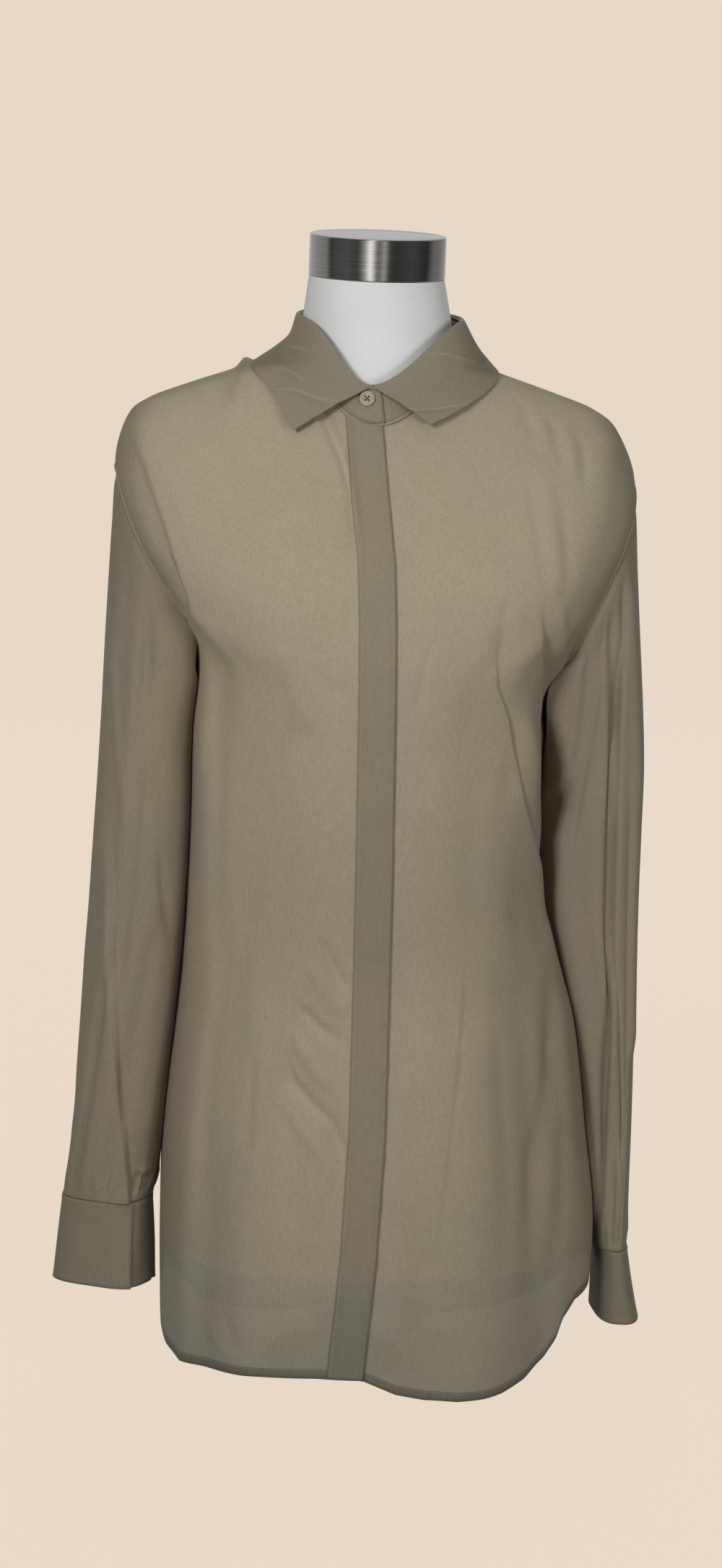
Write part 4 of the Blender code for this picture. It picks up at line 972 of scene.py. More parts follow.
def sleeve_grid(which, side, sections):
    loop, body_out = armhole_loop(side)
    columns = 2 * SLEEVE_FINE
    turn_angle = np.arange(columns) * 180.0 / SLEEVE_FINE
    table = np.array([row[1:] for row in sections], float)
    under = np.clip(-1.6 * np.cos(np.radians(turn_angle)), 0.0, 1.0)
    loop = loop + body_out * 1.3 * under[:, None]
    first = sleeve_ring(table[0], side, turn_angle)
    knots = [loop, loop + (first - loop) * 0.5, first]
    knots += [sleeve_ring(row, side, turn_angle) for row in table[1:]]
    knots = np.array(knots).reshape(len(knots), -1)
    rows = np.concatenate([np.linspace(0.0, 2.0, 56)[:-1],
                           np.linspace(2.0, len(knots) - 1.0, 110)])
    grid = along(knots, rows).reshape(len(rows), columns, 3)
    out = grid_normals(grid, closed=True) * -side
    drop = CAP_TOP - grid[..., 2]
    last_drop = table[-1, 0]
    calm = smooth((drop - 200.0) / 80.0) * smooth((last_drop + 4.0 - drop) / 30.0)
    folds = [row[1:] for row in SLEEVE_FOLDS if row[0] == which]
    turns = turn_angle[None, :] + 0 * drop
    height = fold_height(folds, turns, drop, 0.95) * calm
    start = smooth((rows - 0.12) / 0.5)[:, None]
    end = smooth((last_drop - drop) / 14.0)
    limp = slack(turns * 1.4 + (40 if side > 0 else 0), drop * 1.1, 0.42)
    # Cloth is eased into the cuff in small gathers.
    turn = np.radians(turns)
    gathers = hill((last_drop - drop) / 26.0) * (
        0.75 * np.sin(turn * 17 + 1.1 * np.sin(turn * 3)) + 0.35 * np.sin(turn * 29 + 2.0))
    # The sleeve sinks a little just outside its seam.
    groove = 1.2 * hill((rows - 0.08) / 0.05)[:, None]
    grid = grid + out * ((height + limp * start * end + gathers * end) * start - groove)[..., None]
    out = grid_normals(grid, closed=True) * -side
    grid[0] = draw_in(grid[0], grid[1], 0.35)
    return grid, start


def body_side(y, drop, side):
    """How far out the body's cloth stands beside each of these points."""
    level = level_at(drop, ARM_BOTTOM, 300)
    ring = along(SHIRT, level)
    depth = np.where(y < 0, ring[..., 2], ring[..., 3])
    share = np.clip(np.abs(y) / depth, 0.0, 1.0)
    square = ring[..., 4]
    sine = np.maximum(1.0 - share ** square, 0.0) ** (1.0 / square)
    turn = np.degrees(np.arcsin(np.clip(sine, 0.0, 1.0)))
    angle = side * np.where(y < 0, turn, 180.0 - turn)
    return np.where(share < 0.97, np.abs(shirt_surface(level, angle)[0][..., 0]), 0.0)


def lean_on_body(grid, side, turns, push):
    """Presses the sleeve's inner side against the body, where limp cloth comes to rest."""
    drop = CAP_TOP - grid[..., 2]
    inner = smooth(-np.cos(np.radians(turns)) * 1.25)
    ahead, behind = push
    share = smooth((grid[..., 1] + 34.0 + 60.0 * smooth((425.0 - drop) / 60.0)) / 34.0)
    wanted = (table_at(ahead, drop) * (1.0 - share) + table_at(behind, drop) * share) * inner
    x = np.abs(grid[..., 0]) - wanted
    limit = body_side(grid[..., 1], drop, side) + 0.9
    pressed = np.maximum(x, np.minimum(limit, np.abs(grid[..., 0])))
    grid[..., 0] = side * np.where(wanted > 0.05, pressed, np.abs(grid[..., 0]))
    return grid


def fill_underarm(grid, turns):
    """Brings the left sleeve's spare cloth forward beside the body, below the armhole."""
    drop = CAP_TOP - grid[..., 2]
    front = grid[:, SLEEVE_FINE // 2, 1][:, None] + 6.0
    share = smooth((turns - 98.0) / 36.0) * smooth((186.0 - turns) / 24.0)
    share = share * smooth((drop - 318.0) / 30.0) * smooth((412.0 - drop) / 52.0)
    grid[..., 1] += (front - grid[..., 1]) * 0.82 * share
    return grid


def make_sleeve(which, side, sections):
    grid, start = sleeve_grid(which, side, sections)
    turns = np.arange(2 * SLEEVE_FINE)[None, :] * 180.0 / SLEEVE_FINE + 0 * grid[..., 0]
    grid = lean_on_body(grid, side, turns, SLEEVE_PUSH[which])
    if which == "left":
        grid = fill_underarm(grid, turns)
    out = grid_normals(grid, closed=True) * -side
    height = np.zeros(grid.shape[:2])
    for facing in (1, -1):
        lines = [row[2:] for row in SLEEVE_CREASES if row[0] == which and row[1] == facing]
        seen = smooth(0.35 - facing * out[..., 1] * 2.5)
        height = height + crease_height(lines, grid[..., 0], CAP_TOP - grid[..., 2]) * seen
    # The lower edge is sewn into the cuff, so no fold sinks inside the cuff's top there.
    above_cuff = grid[..., 2] - grid[-1, :, 2].mean()
    height = np.maximum(height, -1.0 - 7.0 * smooth((above_cuff - 3.0) / 22.0))
    grid = grid + out * (height * start)[..., None]
    out = grid_normals(grid, closed=True) * -side
    return cloth_piece(f"{which}_sleeve_crepe", grid, out, CREPE_WALL, CREPE, closed=True,
                       turned_over=side > 0)


def cuff_grid(side, cuff, angles, rows):
    table = np.array([row[1:] for row in cuff], float)
    grid = np.array([sleeve_ring(along(table, place), side, angles)
                     for place in np.linspace(0.0, 2.0, rows)])
    grid[0, :, 2] -= 0.35
    return grid


def make_cuff(which, side, cuff):
    """A deep doubled strip once round the wrist, its end lapped over its start."""
    angles = CUFF_START + np.linspace(0.0, 360.0 + CUFF_OVERLAP, 157)
    grid = cuff_grid(side, cuff, angles, 24)
    out = grid_normals(grid) * -side
    past = (angles - CUFF_START - (360.0 - 45.0)) / 40.0
    lift = smooth(past) * 1.7
    drop = CAP_TOP - grid[..., 2]
    top, low = cuff[0][1], cuff[-1][1]
    depth = (drop - top) / (low - top)
    wave = 0.7 * np.sin(np.radians(angles) * 2 + 0.6)[None, :] * depth ** 2
    wave = wave + 0.28 * np.sin(np.radians(angles) * 5 + depth * 2.5)
    # A firm cuff keeps a rolled top edge where its layers are turned in.
    roll = 0.5 * hill((depth - 0.03) / 0.035) + 0.3 * hill((depth - 0.985) / 0.03)
    # The right cuff is pressed in beside one fold on its front.
    past_fold = grid[..., 0] - table_at(CUFF_FOLD, drop)
    fold = -(1.4 + 3.6 * depth) * smooth(past_fold / 2.2) * smooth(0.9 - out[..., 1] * 2.5)
    fold = fold * (side < 0)
    grid = grid + out * (lift[None, :] + (wave * smooth(depth * 5) + roll + fold))[..., None]
    out = grid_normals(grid) * -side
    return cloth_piece(f"{which}_cuff_crepe", grid, out, CUFF_WALL, DOUBLE_CREPE,
                       turned_over=side > 0)


def cuff_button_place(side, cuff):
    spot = CUFF_START + 360.0 + CUFF_OVERLAP * 0.5
    near = cuff_grid(side, cuff, spot + np.array([-2.0, 0.0, 2.0]), 3)
    out = (grid_normals(near) * -side)[1, 1]
    return near[1, 1] + out * 3.2, out


def collar_ring(row, angles, shift):
    points = ring_point(np.broadcast_to(np.array(row, float), (len(angles), 10)), angles)
    facing = np.maximum(np.cos(np.radians(angles)), 0.0) ** 4
    points[:, 0] += shift * facing
    return points


def across_edge(curve, normals):
    run = np.gradient(curve, axis=0)
    square = np.cross(run, normals)
    square = square / np.linalg.norm(square, axis=-1, keepdims=True)
    return square * np.sign(square[:, 2:3])


def collar_band_grid():
    angles = np.linspace(BAND_START, BAND_END, BAND_COLUMNS)
    base = collar_ring(SHIRT[0], angles, OPENING_SHIFT * 0.5)
    top = collar_ring(BAND_TOP, angles, OPENING_SHIFT)
    normals = -grid_normals(np.array([top, (top + base) / 2, base]))
    lift = BAND_LIFT * (1.0 - smooth((BAND_START - angles) / 42.0))
    base = base + across_edge(base, normals[2]) * (0.5 + 0.4 * lift)[:, None]
    grid = np.array([top + (base - top) * part for part in np.linspace(0.0, 1.0, 9)])
    normals = -grid_normals(grid)
    bow = 0.5 * np.sin(np.linspace(0.0, math.pi, 9))
    grid = grid + normals * (lift[None, :] + bow[:, None])[..., None]
    return angles, grid, -grid_normals(grid)


def place_on_shirt(x, drop, facing):
    low, high = 0.0, 4.0
    for _ in range(30):
        level = np.array((low + high) / 2)
        half = along(SHIRT, level)[0 if x < 0 else 1]
        angle = math.degrees(math.asin(max(-1.0, min(1.0, x / half))))
        angle = np.array(angle if facing > 0 else 180.0 - angle)
        if CAP_TOP - shirt_surface(level, angle)[0][2] < drop:
            low = float(level)
        else:
            high = float(level)
    return float(level), float(angle)


def collar_leaf_grid():
    steps = np.linspace(0.0, 1.0, 221)
    turn = -1.0 - 358.0 * (steps - 0.03 * np.sin(2 * np.pi * steps))
    top = collar_ring(BAND_TOP, turn, OPENING_SHIFT)
    out = top * np.array([1.0, 1.0, 0.0])
    out = out / np.linalg.norm(out, axis=-1, keepdims=True)
    up = across_edge(top, out)
    lap = (BAND_LIFT + 0.45) * (1.0 - smooth((BAND_START - turn) / 42.0))
    top = top + out * lap[:, None]
    rows = LEAF_EDGE[::-1]
    places = [place_on_shirt(*row[1:4]) for row in rows]
    shirt_angles = [angle if row[0] > -90 else angle - 360.0 if angle > 0 else angle
                    for row, (level, angle) in zip(rows, places)]
    keys = [row[0] for row in rows]
    level = np.interp(turn, keys, [place[0] for place in places])
    angle = np.interp(turn, keys, shirt_angles)
    height = np.interp(turn, keys, [row[4] for row in rows])
    edge, edge_out = shirt_surface(level, angle)
    edge = edge + edge_out * height[:, None]
    start = top + up * ROLL_START
    crown = top + out * CROWN_OUT + up * CROWN_UP
    turn_over = top + out * TURN_OUT + up * TURN_UP
    fall = edge - turn_over
    bulge = np.array([0.0, 0.0, 1.0]) + out
    # At the sides the leaf drops beside the neck before it flares to the shoulder.
    flare = (hill((turn + 88.0) / 40.0) + 0.45 * hill((turn + 268.0) / 32.0))[:, None]
    flat, deep = np.array([1.0, 1.0, 0.0]), np.array([0.0, 0.0, 1.0])
    half = turn_over + fall * ((0.42 - 0.29 * flare) * flat + (0.42 + 0.09 * flare) * deep)
    half = half + bulge * (1.6 - 1.2 * flare)
    lower = turn_over + fall * ((0.74 - 0.36 * flare) * flat + (0.74 - 0.05 * flare) * deep)
    lower = lower + bulge * (1.1 - 0.5 * flare)
    knots = np.array([start, crown, turn_over, half, lower, edge]).reshape(6, -1)
    places = np.concatenate([np.linspace(0, 2, 12)[:-1], np.linspace(2, 5, 84)])
    leaf = along(knots, places).reshape(len(places), -1, 3)
    normals = -grid_normals(leaf)
    down = np.clip((places - 2.0) / 3.0, 0.0, 1.0)[:, None]
    height, pressed = np.zeros(leaf.shape[:2]), np.zeros(leaf.shape[:2])
    for first, last, high, low, size in LEAF_CREASES:
        part = np.clip((turn - first) / (last - first), 0.0, 1.0)
        line = high + (low - high) * part
        past, strength = down - line[None, :], size * faded_ends(part)[None, :]
        height = height + strength * hill(past / np.where(past > 0, 0.07, 0.026))
        # The band just above each crease line gets a painted highlight, paler in the cloth's
        # colour.
        pressed = pressed + strength / 1.5 * hill((past + 0.006) / 0.017)
    leaf = leaf + normals * height[..., None]
    return leaf, -grid_normals(leaf), np.clip(pressed, 0.0, 1.0)


def neck_allowance(angles, band, band_out):
    """The fronts' and back's top edge, turned up inside the band where they are sewn."""
    inside = (angles < -17.0) & (angles > -371.0)
    low, low_out = shirt_surface(0.16, angles[inside])
    low = low - low_out * HEM_INSIDE
    high = band[-3, inside] - band_out[-3, inside] * 0.80
    parts = np.linspace(0.0, 1.0, 5)[:, None, None]
    grid = high * (1.0 - parts) + low * parts
    out = -grid_normals(grid)
    return cloth_piece("neck_seam_allowance", grid, out, CREPE_WALL, DOUBLE_CREPE,
                       turned_over=True)


def make_collar():
    angles, band, band_out = collar_band_grid()
    band_piece = cloth_piece("collar_band_crepe", band, band_out, DOUBLE_WALL, DOUBLE_CREPE,
                             turned_over=True)
    leaf, leaf_out, pressed = collar_leaf_grid()
    leaf_piece = cloth_piece("collar_leaf_crepe", leaf, leaf_out, DOUBLE_WALL, DOUBLE_CREPE,
                             turned_over=True)
    # The leaf's pressed lines carry a painted highlight.
    note(leaf_piece, "pressed", np.tile(pressed[:, ::-1].reshape(-1), 2))
    column = int(round(np.interp(-COLLAR_BUTTON_ANGLE, -angles, np.arange(len(angles)))))
    out = band_out[4, column]
    centre = band[0, column] * 0.72 + band[-1, column] * 0.28
    allowance = neck_allowance(angles, band, band_out)
    button_place = (centre + out * (DOUBLE_WALL / 2 + 0.7), out)
    return band_piece, leaf_piece, allowance, button_place, (leaf, leaf_out)


# ---- buttons, thread and seams ----

def button_blank():
    """A flat button with a raised rim and four holes, standing on its back."""
    rim, thick = BUTTON_RADIUS, BUTTON_THICK
    profile = ((0, 0), (rim - 0.7, 0), (rim - 0.2, 0.25), (rim, 0.7), (rim, thick - 0.6),
               (rim - 0.15, thick - 0.2), (rim - 0.5, thick), (rim - 1.1, thick),
               (rim - 1.5, thick - 0.15), (rim - 1.9, thick - 0.45), (rim - 2.6, thick - 0.6),
               (0, thick - 0.62))
    disc = turned("button_blank", profile, 56, BUTTON_STUFF)
    drills = []
    for x in (-BUTTON_PITCH, BUTTON_PITCH):
        for y in (-BUTTON_PITCH, BUTTON_PITCH):
            drill = turned("button_drill", ((0, -1), (BUTTON_HOLE, -1), (BUTTON_HOLE, thick + 1),
                                            (0, thick + 1)), 18, BUTTON_STUFF, (x, y, 0))
            hole = disc.modifiers.new("hole", "BOOLEAN")
            hole.object = drill
            hole.operation = "DIFFERENCE"
            drills.append(drill)
    mesh = finished_mesh(disc)
    for obj in drills + [disc]:
        bpy.data.objects.remove(obj, do_unlink=True)
    return mesh


def button_frame(point, out):
    """Where a button sits: its own Z along the way out of the cloth, its X level."""
    out = Vector(out).normalized()
    side = out.cross(Vector((0, 0, 1))).normalized()
    up = out.cross(side)
    turn = Matrix((side, -up, out)).transposed().to_4x4()
    return Matrix.Translation(Vector(np.asarray(point, float) * MM)) @ turn


def sewn_button(name, point, out, blank):
    mesh = blank.copy()
    mesh.name = name
    mesh.transform(button_frame(point, out))
    obj = linked(name, mesh)
    mesh.shade_smooth()
    crisp(obj, 40.0)
    return obj


def cross_paths(point, out):
    """The two crossed runs of thread through a button's holes."""
    place = button_frame(point, out)
    paths = []
    for sign, rise in ((1, 0.0), (-1, 0.22)):
        run = []
        for part in np.linspace(-1.0, 1.0, 9):
            x = part * BUTTON_PITCH * 1.02
            height = BUTTON_THICK - 0.62 + (0.34 + rise) * (1 - part ** 4) - 0.9 * abs(part) ** 9
            run.append(np.array(place @ Vector((x * MM, sign * x * MM, height * MM))) / MM)
        paths.append(np.array(run))
    return paths


def path_object(name, paths):
    mesh = bpy.data.meshes.new(name)
    points = [tuple(point * MM) for path in paths for point in path]
    edges, start = [], 0
    for path in paths:
        edges += [(start + k, start + k + 1) for k in range(len(path) - 1)]
        start += len(path)
    mesh.from_pydata(points, edges, [])
    return linked(name, mesh)


def new_tree(name, sizes):
    tree = bpy.data.node_groups.new(name, "GeometryNodeTree")
    tree.interface.new_socket("Geometry", in_out="INPUT", socket_type="NodeSocketGeometry")
    for label, value in sizes:
        socket = tree.interface.new_socket(label, in_out="INPUT", socket_type="NodeSocketFloat")
        socket.default_value = value
    tree.interface.new_socket("Geometry", in_out="OUTPUT", socket_type="NodeSocketGeometry")
    add = adder(tree)
    start = add("NodeGroupInput", out=None).outputs
    return tree, add, start, add("GeometryNodeMeshToCurve", start["Geometry"])


def end_tree(tree, add, shape, stuff):
    real = add("GeometryNodeRealizeInstances", shape)
    add("NodeGroupOutput", add("GeometryNodeSetMaterial", Geometry=real, Material=stuff), out=None)
    return tree


def stitch_tree():
    """Short rounded stitches laid end to end along a sewn line."""
    tree, add, start, line = new_tree("stitches_along_a_line", (
        ("Stitch length", 0.0018), ("Stitch pitch", 0.0024), ("Thread thickness", 0.00035)))
    points = add("GeometryNodeCurveToPoints", mode="LENGTH", Curve=line,
                 Length=start["Stitch pitch"], out=None).outputs
    turn = add("FunctionNodeAlignRotationToVector", axis="Z", Vector=points["Tangent"])
    bead = add("GeometryNodeMeshUVSphere", Segments=6, Rings=4, Radius=0.5)
    thick = start["Thread thickness"]
    size = add("CombineXYZ", thick, thick, start["Stitch length"])
    copies = add("GeometryNodeInstanceOnPoints", Points=points["Points"], Instance=bead,
                 Rotation=turn, Scale=size)
    return end_tree(tree, add, copies, SEWING_THREAD)


def welt_tree(name, stuff):
    """A round cord of turned-in cloth or thread along a line."""
    tree, add, start, line = new_tree(name, (("Radius", 0.0005),))
    ring = add("GeometryNodeCurvePrimitiveCircle", Resolution=8, Radius=start["Radius"])
    sweep = add("GeometryNodeCurveToMesh", Curve=line, Profile_Curve=ring, Fill_Caps=True)
    return end_tree(tree, add, sweep, stuff)


def grown(name, paths, tree, **sizes):
    """Runs a tree along some lines and keeps the result as a plain mesh."""
    guide = path_object(name + "_guide", paths)
    modifier = guide.modifiers.new("tree", "NODES")
    modifier.node_group = tree
    for item in tree.interface.items_tree:
        if item.item_type == "SOCKET" and item.in_out == "INPUT":
            key = item.name.lower().replace(" ", "_")
            if key in sizes:
                modifier[item.identifier] = sizes[key]
    mesh = finished_mesh(guide)
    guide.modifiers.clear()
    bpy.data.objects.remove(guide, do_unlink=True)
    obj = linked(name, mesh)
    tidy = bmesh.new()
    tidy.from_mesh(mesh)
    bmesh.ops.recalc_face_normals(tidy, faces=tidy.faces)
    tidy.to_mesh(mesh)
    tidy.free()
    mesh.shade_smooth()
    return obj


def line_on_shirt(level, angle, out_by):
    points, out = shirt_surface(level, angle)
    return points + out * out_by


def hem_path(angle_of, parts):
    drops = along(SHIRT, last_level(angle_of, parts))[:, FRONT_DROP]
    level = level_at(drops - HEM_STITCH_UP)
    return line_on_shirt(level, angle_of(level, parts), 0.33)


def down_to_hem(levels, angles, room, out_by):
    """A line down the shirt that stops a little above the hem."""
    above = levels < hem_level(angles) - room
    return line_on_shirt(levels[above], angles[above], out_by)


def make_sewing(leaf, leaf_out):
    stitches = stitch_tree()
    # Seam welts in the paler crepe, a painted highlight.
    welt = welt_tree("welt_along_a_seam", SEAM_CREPE_PAINTED_HIGHLIGHT)
    front = np.linspace(0.0, 1.0, 260)
    hem_lines = [hem_path(front_angle(-1, FRONT_START[-1]), front),
                 hem_path(front_angle(1, FRONT_START[1]), front[16:]),
                 hem_path(back_angle, np.linspace(-1.0, 1.0, 420))]
    levels = np.linspace(0.9, LAST_LEVEL, 420)
    edge_line = down_to_hem(levels, placket_angle(levels, -PLACKET_HALF + 1.9), 0.02, 1.78)
    leaf_line = leaf[-1] + (leaf[-2] - leaf[-1]) * 0.55 + leaf_out[-1] * 0.52
    made = [grown(name, lines, stitches, stitch_length=length, stitch_pitch=pitch,
                  thread_thickness=thick)
            for name, lines, length, pitch, thick in (
                ("hem_stitches", hem_lines, 0.0017, 0.0023, 0.00030),
                ("placket_stitches", [edge_line], 0.0018, 0.0031, 0.00060),
                ("collar_stitches", [leaf_line[4:-4]], 0.0015, 0.0021, 0.00022))]
    seams = []
    for side in (-1, 1):
        points, out = armhole_loop(side)
        seams.append(np.concatenate([points, points[:1]]) + np.concatenate([out, out[:1]]) * 0.45)
        levels = np.linspace(ARM_BOTTOM, LAST_LEVEL, 300)
        seams.append(down_to_hem(levels, side_angle(levels, side), 0.05, 0.08))
        levels = np.linspace(0.05, ARM_TOP - 0.02, 90)
        seams.append(line_on_shirt(levels, side_angle(levels, side), 0.08))
    made.append(grown("body_seams", seams, welt, radius=0.00055))
    _, band, _ = collar_band_grid()
    turns = np.linspace(BAND_START - 1.0, BAND_END + 1.0, BAND_COLUMNS)
    low = collar_ring(SHIRT[0], turns, OPENING_SHIFT * 0.5)
    made.append(grown("neck_seam", [(low + band[-1]) / 2], welt, radius=0.0012))
    return made


# ---- the form and its stand ----

def make_form():
    """A smooth limbless torso in jersey, closed flat under the cap and at the foot."""
    knots = list(NECK_RINGS) + [tuple(row) for row in FORM]
    knots += [(123.5, 123.5, 101.5, 107.5, 2.1, 801, 801, 801, 801, 1.4),
              (118, 118, 96, 102, 2.1, 806, 806, 806, 806, 1.4)]
    count = len(knots)
    places = np.concatenate([np.linspace(0, count - 3, 150),
                             np.linspace(count - 3, count - 1, 9)[1:]])
    rings = along(np.array(knots, float), places)
    columns = 120
    angles = np.arange(columns) * 360.0 / columns
    points = np.array([ring_point(np.broadcast_to(ring, (columns, 10)), angles)
                       for ring in rings])
    form = add_piece("jersey_form", points.reshape(-1, 3),
                     tube_faces(len(rings), columns, downward=True), JERSEY)
    crisp(form, 55.0)
    return form


def make_cap():
    low = CAP_TOP - CAP_HEIGHT
    profile = [(0, low), (CAP_RADIUS - 0.8, low), (CAP_RADIUS - 0.2, low + 0.3),
               (CAP_RADIUS, low + 0.9), (CAP_RADIUS, CAP_TOP - CAP_ROUND)]
    for bend in np.radians((22.5, 45.0, 67.5, 90.0)):
        profile.append((CAP_RADIUS - CAP_ROUND + CAP_ROUND * math.cos(bend),
                        CAP_TOP - CAP_ROUND + CAP_ROUND * math.sin(bend)))
    profile += [(CAP_RADIUS * 0.6, CAP_TOP - 0.02), (0, CAP_TOP - 0.02)]
    cap = turned("steel_neck_cap", profile, 128, STEEL_SIDE)
    crisp(cap, 50.0)
    return cap


def make_stand():
    foot = CAP_TOP - FORM_FOOT_DROP
    low, high = BASE_THICK + GAP, foot - GAP
    post = turned("steel_post", ((0, low), (POST_RADIUS - 0.5, low), (POST_RADIUS, low + 0.5),
                                 (POST_RADIUS, high - 0.5), (POST_RADIUS - 0.5, high), (0, high)),
                  72, STEEL_TUBE, (0, POST_BACK, 0))
    crisp(post, 30.0)
    top = BASE_THICK
    base = turned("enamel_base_plate", (
        (0, 0), (BASE_RADIUS - 0.6, 0), (BASE_RADIUS, 0.6), (BASE_RADIUS, top - 3.0),
        (BASE_RADIUS - 0.35, top - 1.7), (BASE_RADIUS - 1.2, top - 0.65),
        (BASE_RADIUS - 2.6, top), (POST_RADIUS + 6, top), (0, top)),
        110, ENAMEL, (0, POST_BACK, 0))
    crisp(base, 40.0)
    return post, base


FORM_PIECE = keep(make_form(), "jersey", "form_torso")
keep(make_cap(), "steel", "neck_cap")
POST, BASE = make_stand()
keep(POST, "steel", "stand_post")
keep(BASE, "enamel", "base_plate")

PANELS = [(*make_front("right", -1), "front_right"), (*make_front("left", 1), "front_left"),
          (*make_back(), "back")]
for panel, hem, node in PANELS:
    keep(panel, "cloth", node)
    keep(hem, "cloth")
PLACKET = keep(make_placket(), "double_cloth", "placket")
SLEEVES, CUFFS = {}, {}
for which, side, sections, cuff in ARMS:
    SLEEVES[which] = keep(make_sleeve(which, side, sections), "cloth", f"sleeve_{which}")
    CUFFS[which] = keep(make_cuff(which, side, cuff), "double_cloth", f"cuff_{which}")
BAND, LEAF, NECK_EDGE, BUTTON_PLACE, LEAF_SHAPE = make_collar()
keep(BAND, "double_cloth", "collar_band")
keep(LEAF, "double_cloth", "collar_leaf")
keep(NECK_EDGE, "double_cloth")
mark_painted_light(FORM_PIECE, [piece for panel, hem, _ in PANELS for piece in (panel, hem)]
              + [PLACKET, BAND, LEAF, *SLEEVES.values(), *CUFFS.values()])

BUTTONS = [("collar_front_button", "collar_button", BUTTON_PLACE)]
for which, side, _, cuff in ARMS:
    BUTTONS.append((f"{which}_cuff_fastener", f"cuff_button_{which}",
                    cuff_button_place(side, cuff)))
for number, drop in enumerate(FLY_BUTTON_DROPS, 1):
    level = np.array(level_at(drop, 1.0))
    point, out = shirt_surface(level, placket_angle(level, 2.0))
    BUTTONS.append((f"fly_fastener_{number}", f"fly_button_{number}",
                    (point + out * (CREPE_WALL / 2 + 0.15), out)))
BLANK = button_blank()
CROSSES = []
for name, node, place in BUTTONS:
    keep(sewn_button(name, *place, BLANK), "button", node)
    CROSSES += cross_paths(*place)
bpy.data.meshes.remove(BLANK)
keep(grown("button_threads", CROSSES, welt_tree("thread_through_holes", BUTTON_THREAD),
           radius=0.00026), "button")
for piece in make_sewing(*LEAF_SHAPE):
    keep(piece, "cloth")


# ---- floor, light and camera ----

def flat_tone(name, colour, lit):
    _, finish, _ = new_material(name)
    return finish(Base_Color=tuple(c * lit for c in colour) + (1.0,), Roughness=1.0,
                  Specular_IOR_Level=0.0, Emission_Color=(*colour, 1.0),
                  Emission_Strength=1.0 - lit)


BEIGE = (0.831, 0.708, 0.597)
FLOOR_REACH = 90000.0
corners = [(x * FLOOR_REACH, y * FLOOR_REACH, -0.5)
           for x, y in ((-1, -1), (1, -1), (1, 1), (-1, 1))]
floor = add_piece("pale_floor", corners, [(0, 1, 2, 3)],
                  flat_tone("pale_floor_tone", BEIGE, 0.04), False)
floor.visible_diffuse = False
floor.visible_glossy = False

# Panels and gaps seen in shiny things, from behind on the right round the front:
# how far round, and how bright.
STUDIO_BANDS = (
    (0.0, 0.62), (0.17, 0.36), (0.22, 0.32), (0.245, 0.04), (0.27, 0.10), (0.34, 0.13),
    (0.40, 0.06), (0.432, 0.50), (0.455, 2.1), (0.470, 0.70), (0.485, 0.14), (0.503, 0.22),
    (0.520, 0.75), (0.535, 0.10), (0.56, 0.05), (0.66, 0.09), (0.75, 0.03), (0.785, 0.22),
    (0.84, 0.26), (1.0, 0.62),
)
world = bpy.data.worlds.new("soft_studio")
bpy.context.scene.world = world
world.use_nodes = True
world.node_tree.nodes.clear()
add = adder(world.node_tree)
way = add("SeparateXYZ", add("TexCoord", out="Generated"), out=None).outputs
ahead = add("Math", way["Y"], -1.0, operation="MULTIPLY")
turn_about = add("Math", way["X"], ahead, operation="ARCTAN2")
share_round = add("MapRange", turn_about, From_Min=-math.pi, From_Max=math.pi)
bands = add("ValToRGB", share_round, out=None)
elements = bands.color_ramp.elements
elements[0].position, elements[1].position = 0.0, 1.0
for place, value in STUDIO_BANDS:
    element = (elements[0] if place == 0.0 else elements[len(elements) - 1] if place == 1.0
               else elements.new(place))
    element.color = (value, value, value * 0.99, 1.0)
studio = add("Background", bands.outputs["Color"])
room = add("Background", (0.44, 0.435, 0.425, 1.0), 0.42)
backdrop = add("Background", (*BEIGE, 1.0))
rays = add("LightPath", out=None).outputs
lit = add("MixShader", rays["Is Glossy Ray"], room, studio)
add("OutputWorld", add("MixShader", rays["Is Camera Ray"], lit, backdrop), out=None)

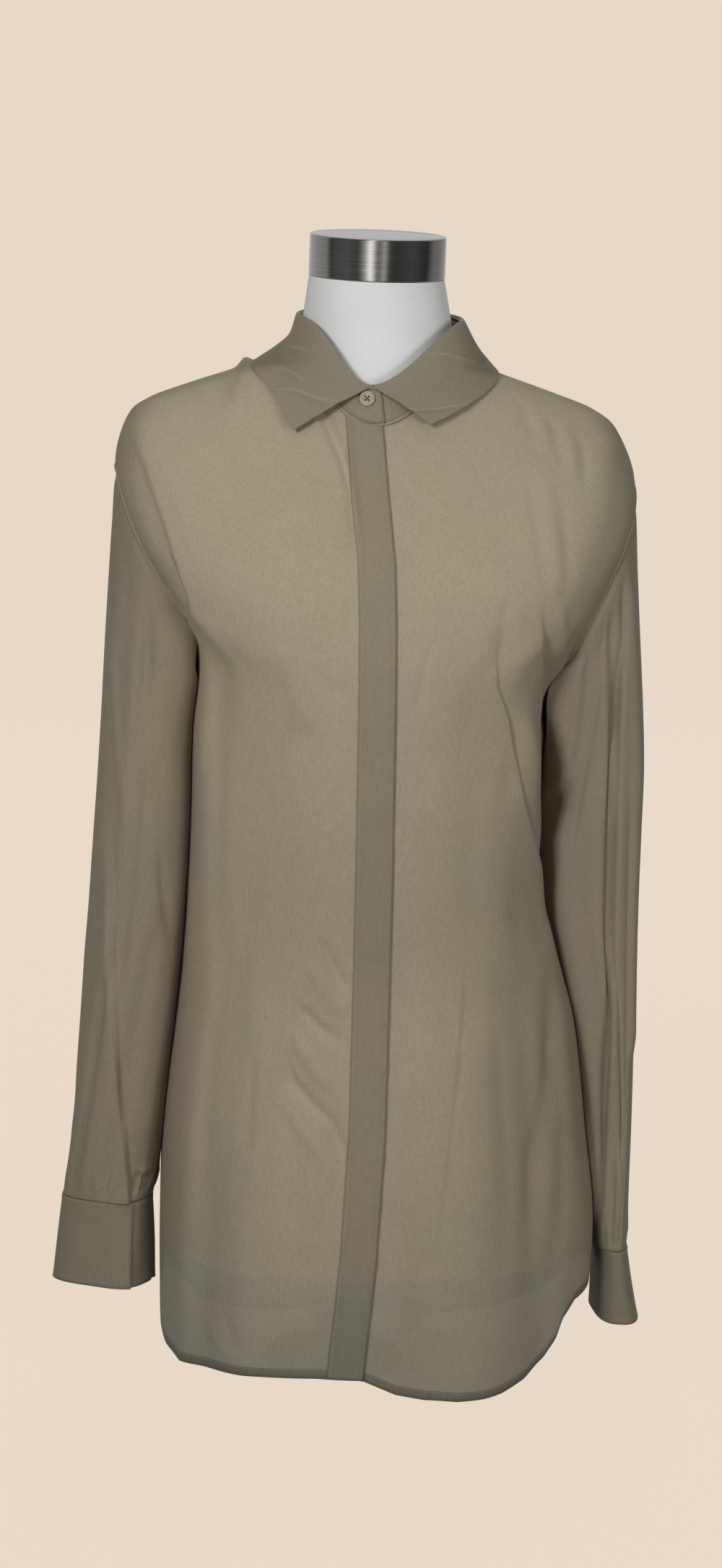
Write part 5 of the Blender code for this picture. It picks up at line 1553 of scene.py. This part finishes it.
for name, place, target, size, power in (
        ("key_softbox", (-1.7, -2.9, 1.9), (0.0, 0.0, 0.45), 0.8, 58.0),
        ("fill_softbox", (1.9, -2.8, 0.9), (0.0, 0.0, 0.40), 1.2, 27.0),
        ("top_softbox", (0.0, -0.9, 3.0), (0.0, 0.0, 0.6), 1.2, 5.0),
        ("back_softbox", (0.6, 2.8, 1.8), (0.0, 0.0, 0.5), 1.8, 30.0)):
    lamp = bpy.data.lights.new(name, "AREA")
    lamp.shape = "SQUARE"
    lamp.size = size
    lamp.energy = power
    lamp.color = (1.0, 0.985, 0.955)
    light = linked(name, lamp)
    light.visible_glossy = False
    aim = (Vector(target) - Vector(place)).to_track_quat("-Z", "Y")
    light.matrix_world = Matrix.Translation(Vector(place)) @ aim.to_matrix().to_4x4()

CAMERA_FAR, CAMERA_ROUND, CAMERA_DOWN = 4.0, math.radians(5.0), math.radians(10.53)
CAMERA_ROLL, CAMERA_HIGH, LENS_PIXELS = math.radians(2.2), 0.911 + 0.31, 7126.0
PHOTO_HIGH, AIM_ASIDE = 2172.0, 5.2
swing = -math.atan(AIM_ASIDE / LENS_PIXELS)
s, c = math.sin(CAMERA_ROUND), math.cos(CAMERA_ROUND)
right = Vector((c, -s, 0.0))
ahead = Vector((s * math.cos(CAMERA_DOWN), c * math.cos(CAMERA_DOWN), -math.sin(CAMERA_DOWN)))
above = Vector((s * math.sin(CAMERA_DOWN), c * math.sin(CAMERA_DOWN), math.cos(CAMERA_DOWN)))
yaw = Matrix.Rotation(swing, 3, "Z")
right, ahead, above = yaw @ right, yaw @ ahead, yaw @ above
across = right * math.cos(CAMERA_ROLL) + above * math.sin(CAMERA_ROLL)
upward = above * math.cos(CAMERA_ROLL) - right * math.sin(CAMERA_ROLL)
lens = bpy.data.cameras.new("photo_camera")
lens.sensor_fit = "VERTICAL"
lens.sensor_height = 36.0
lens.lens = lens.sensor_height * LENS_PIXELS / PHOTO_HIGH
lens.clip_end = 300.0
camera = linked("photo_camera", lens)
turn = Matrix((across, upward, -ahead)).transposed().to_4x4()
stood = Vector((-CAMERA_FAR * s, -CAMERA_FAR * c, CAMERA_HIGH))
camera.matrix_world = Matrix.Translation(stood) @ turn
bpy.context.scene.camera = camera
bpy.context.scene.view_settings.view_transform = "Standard"
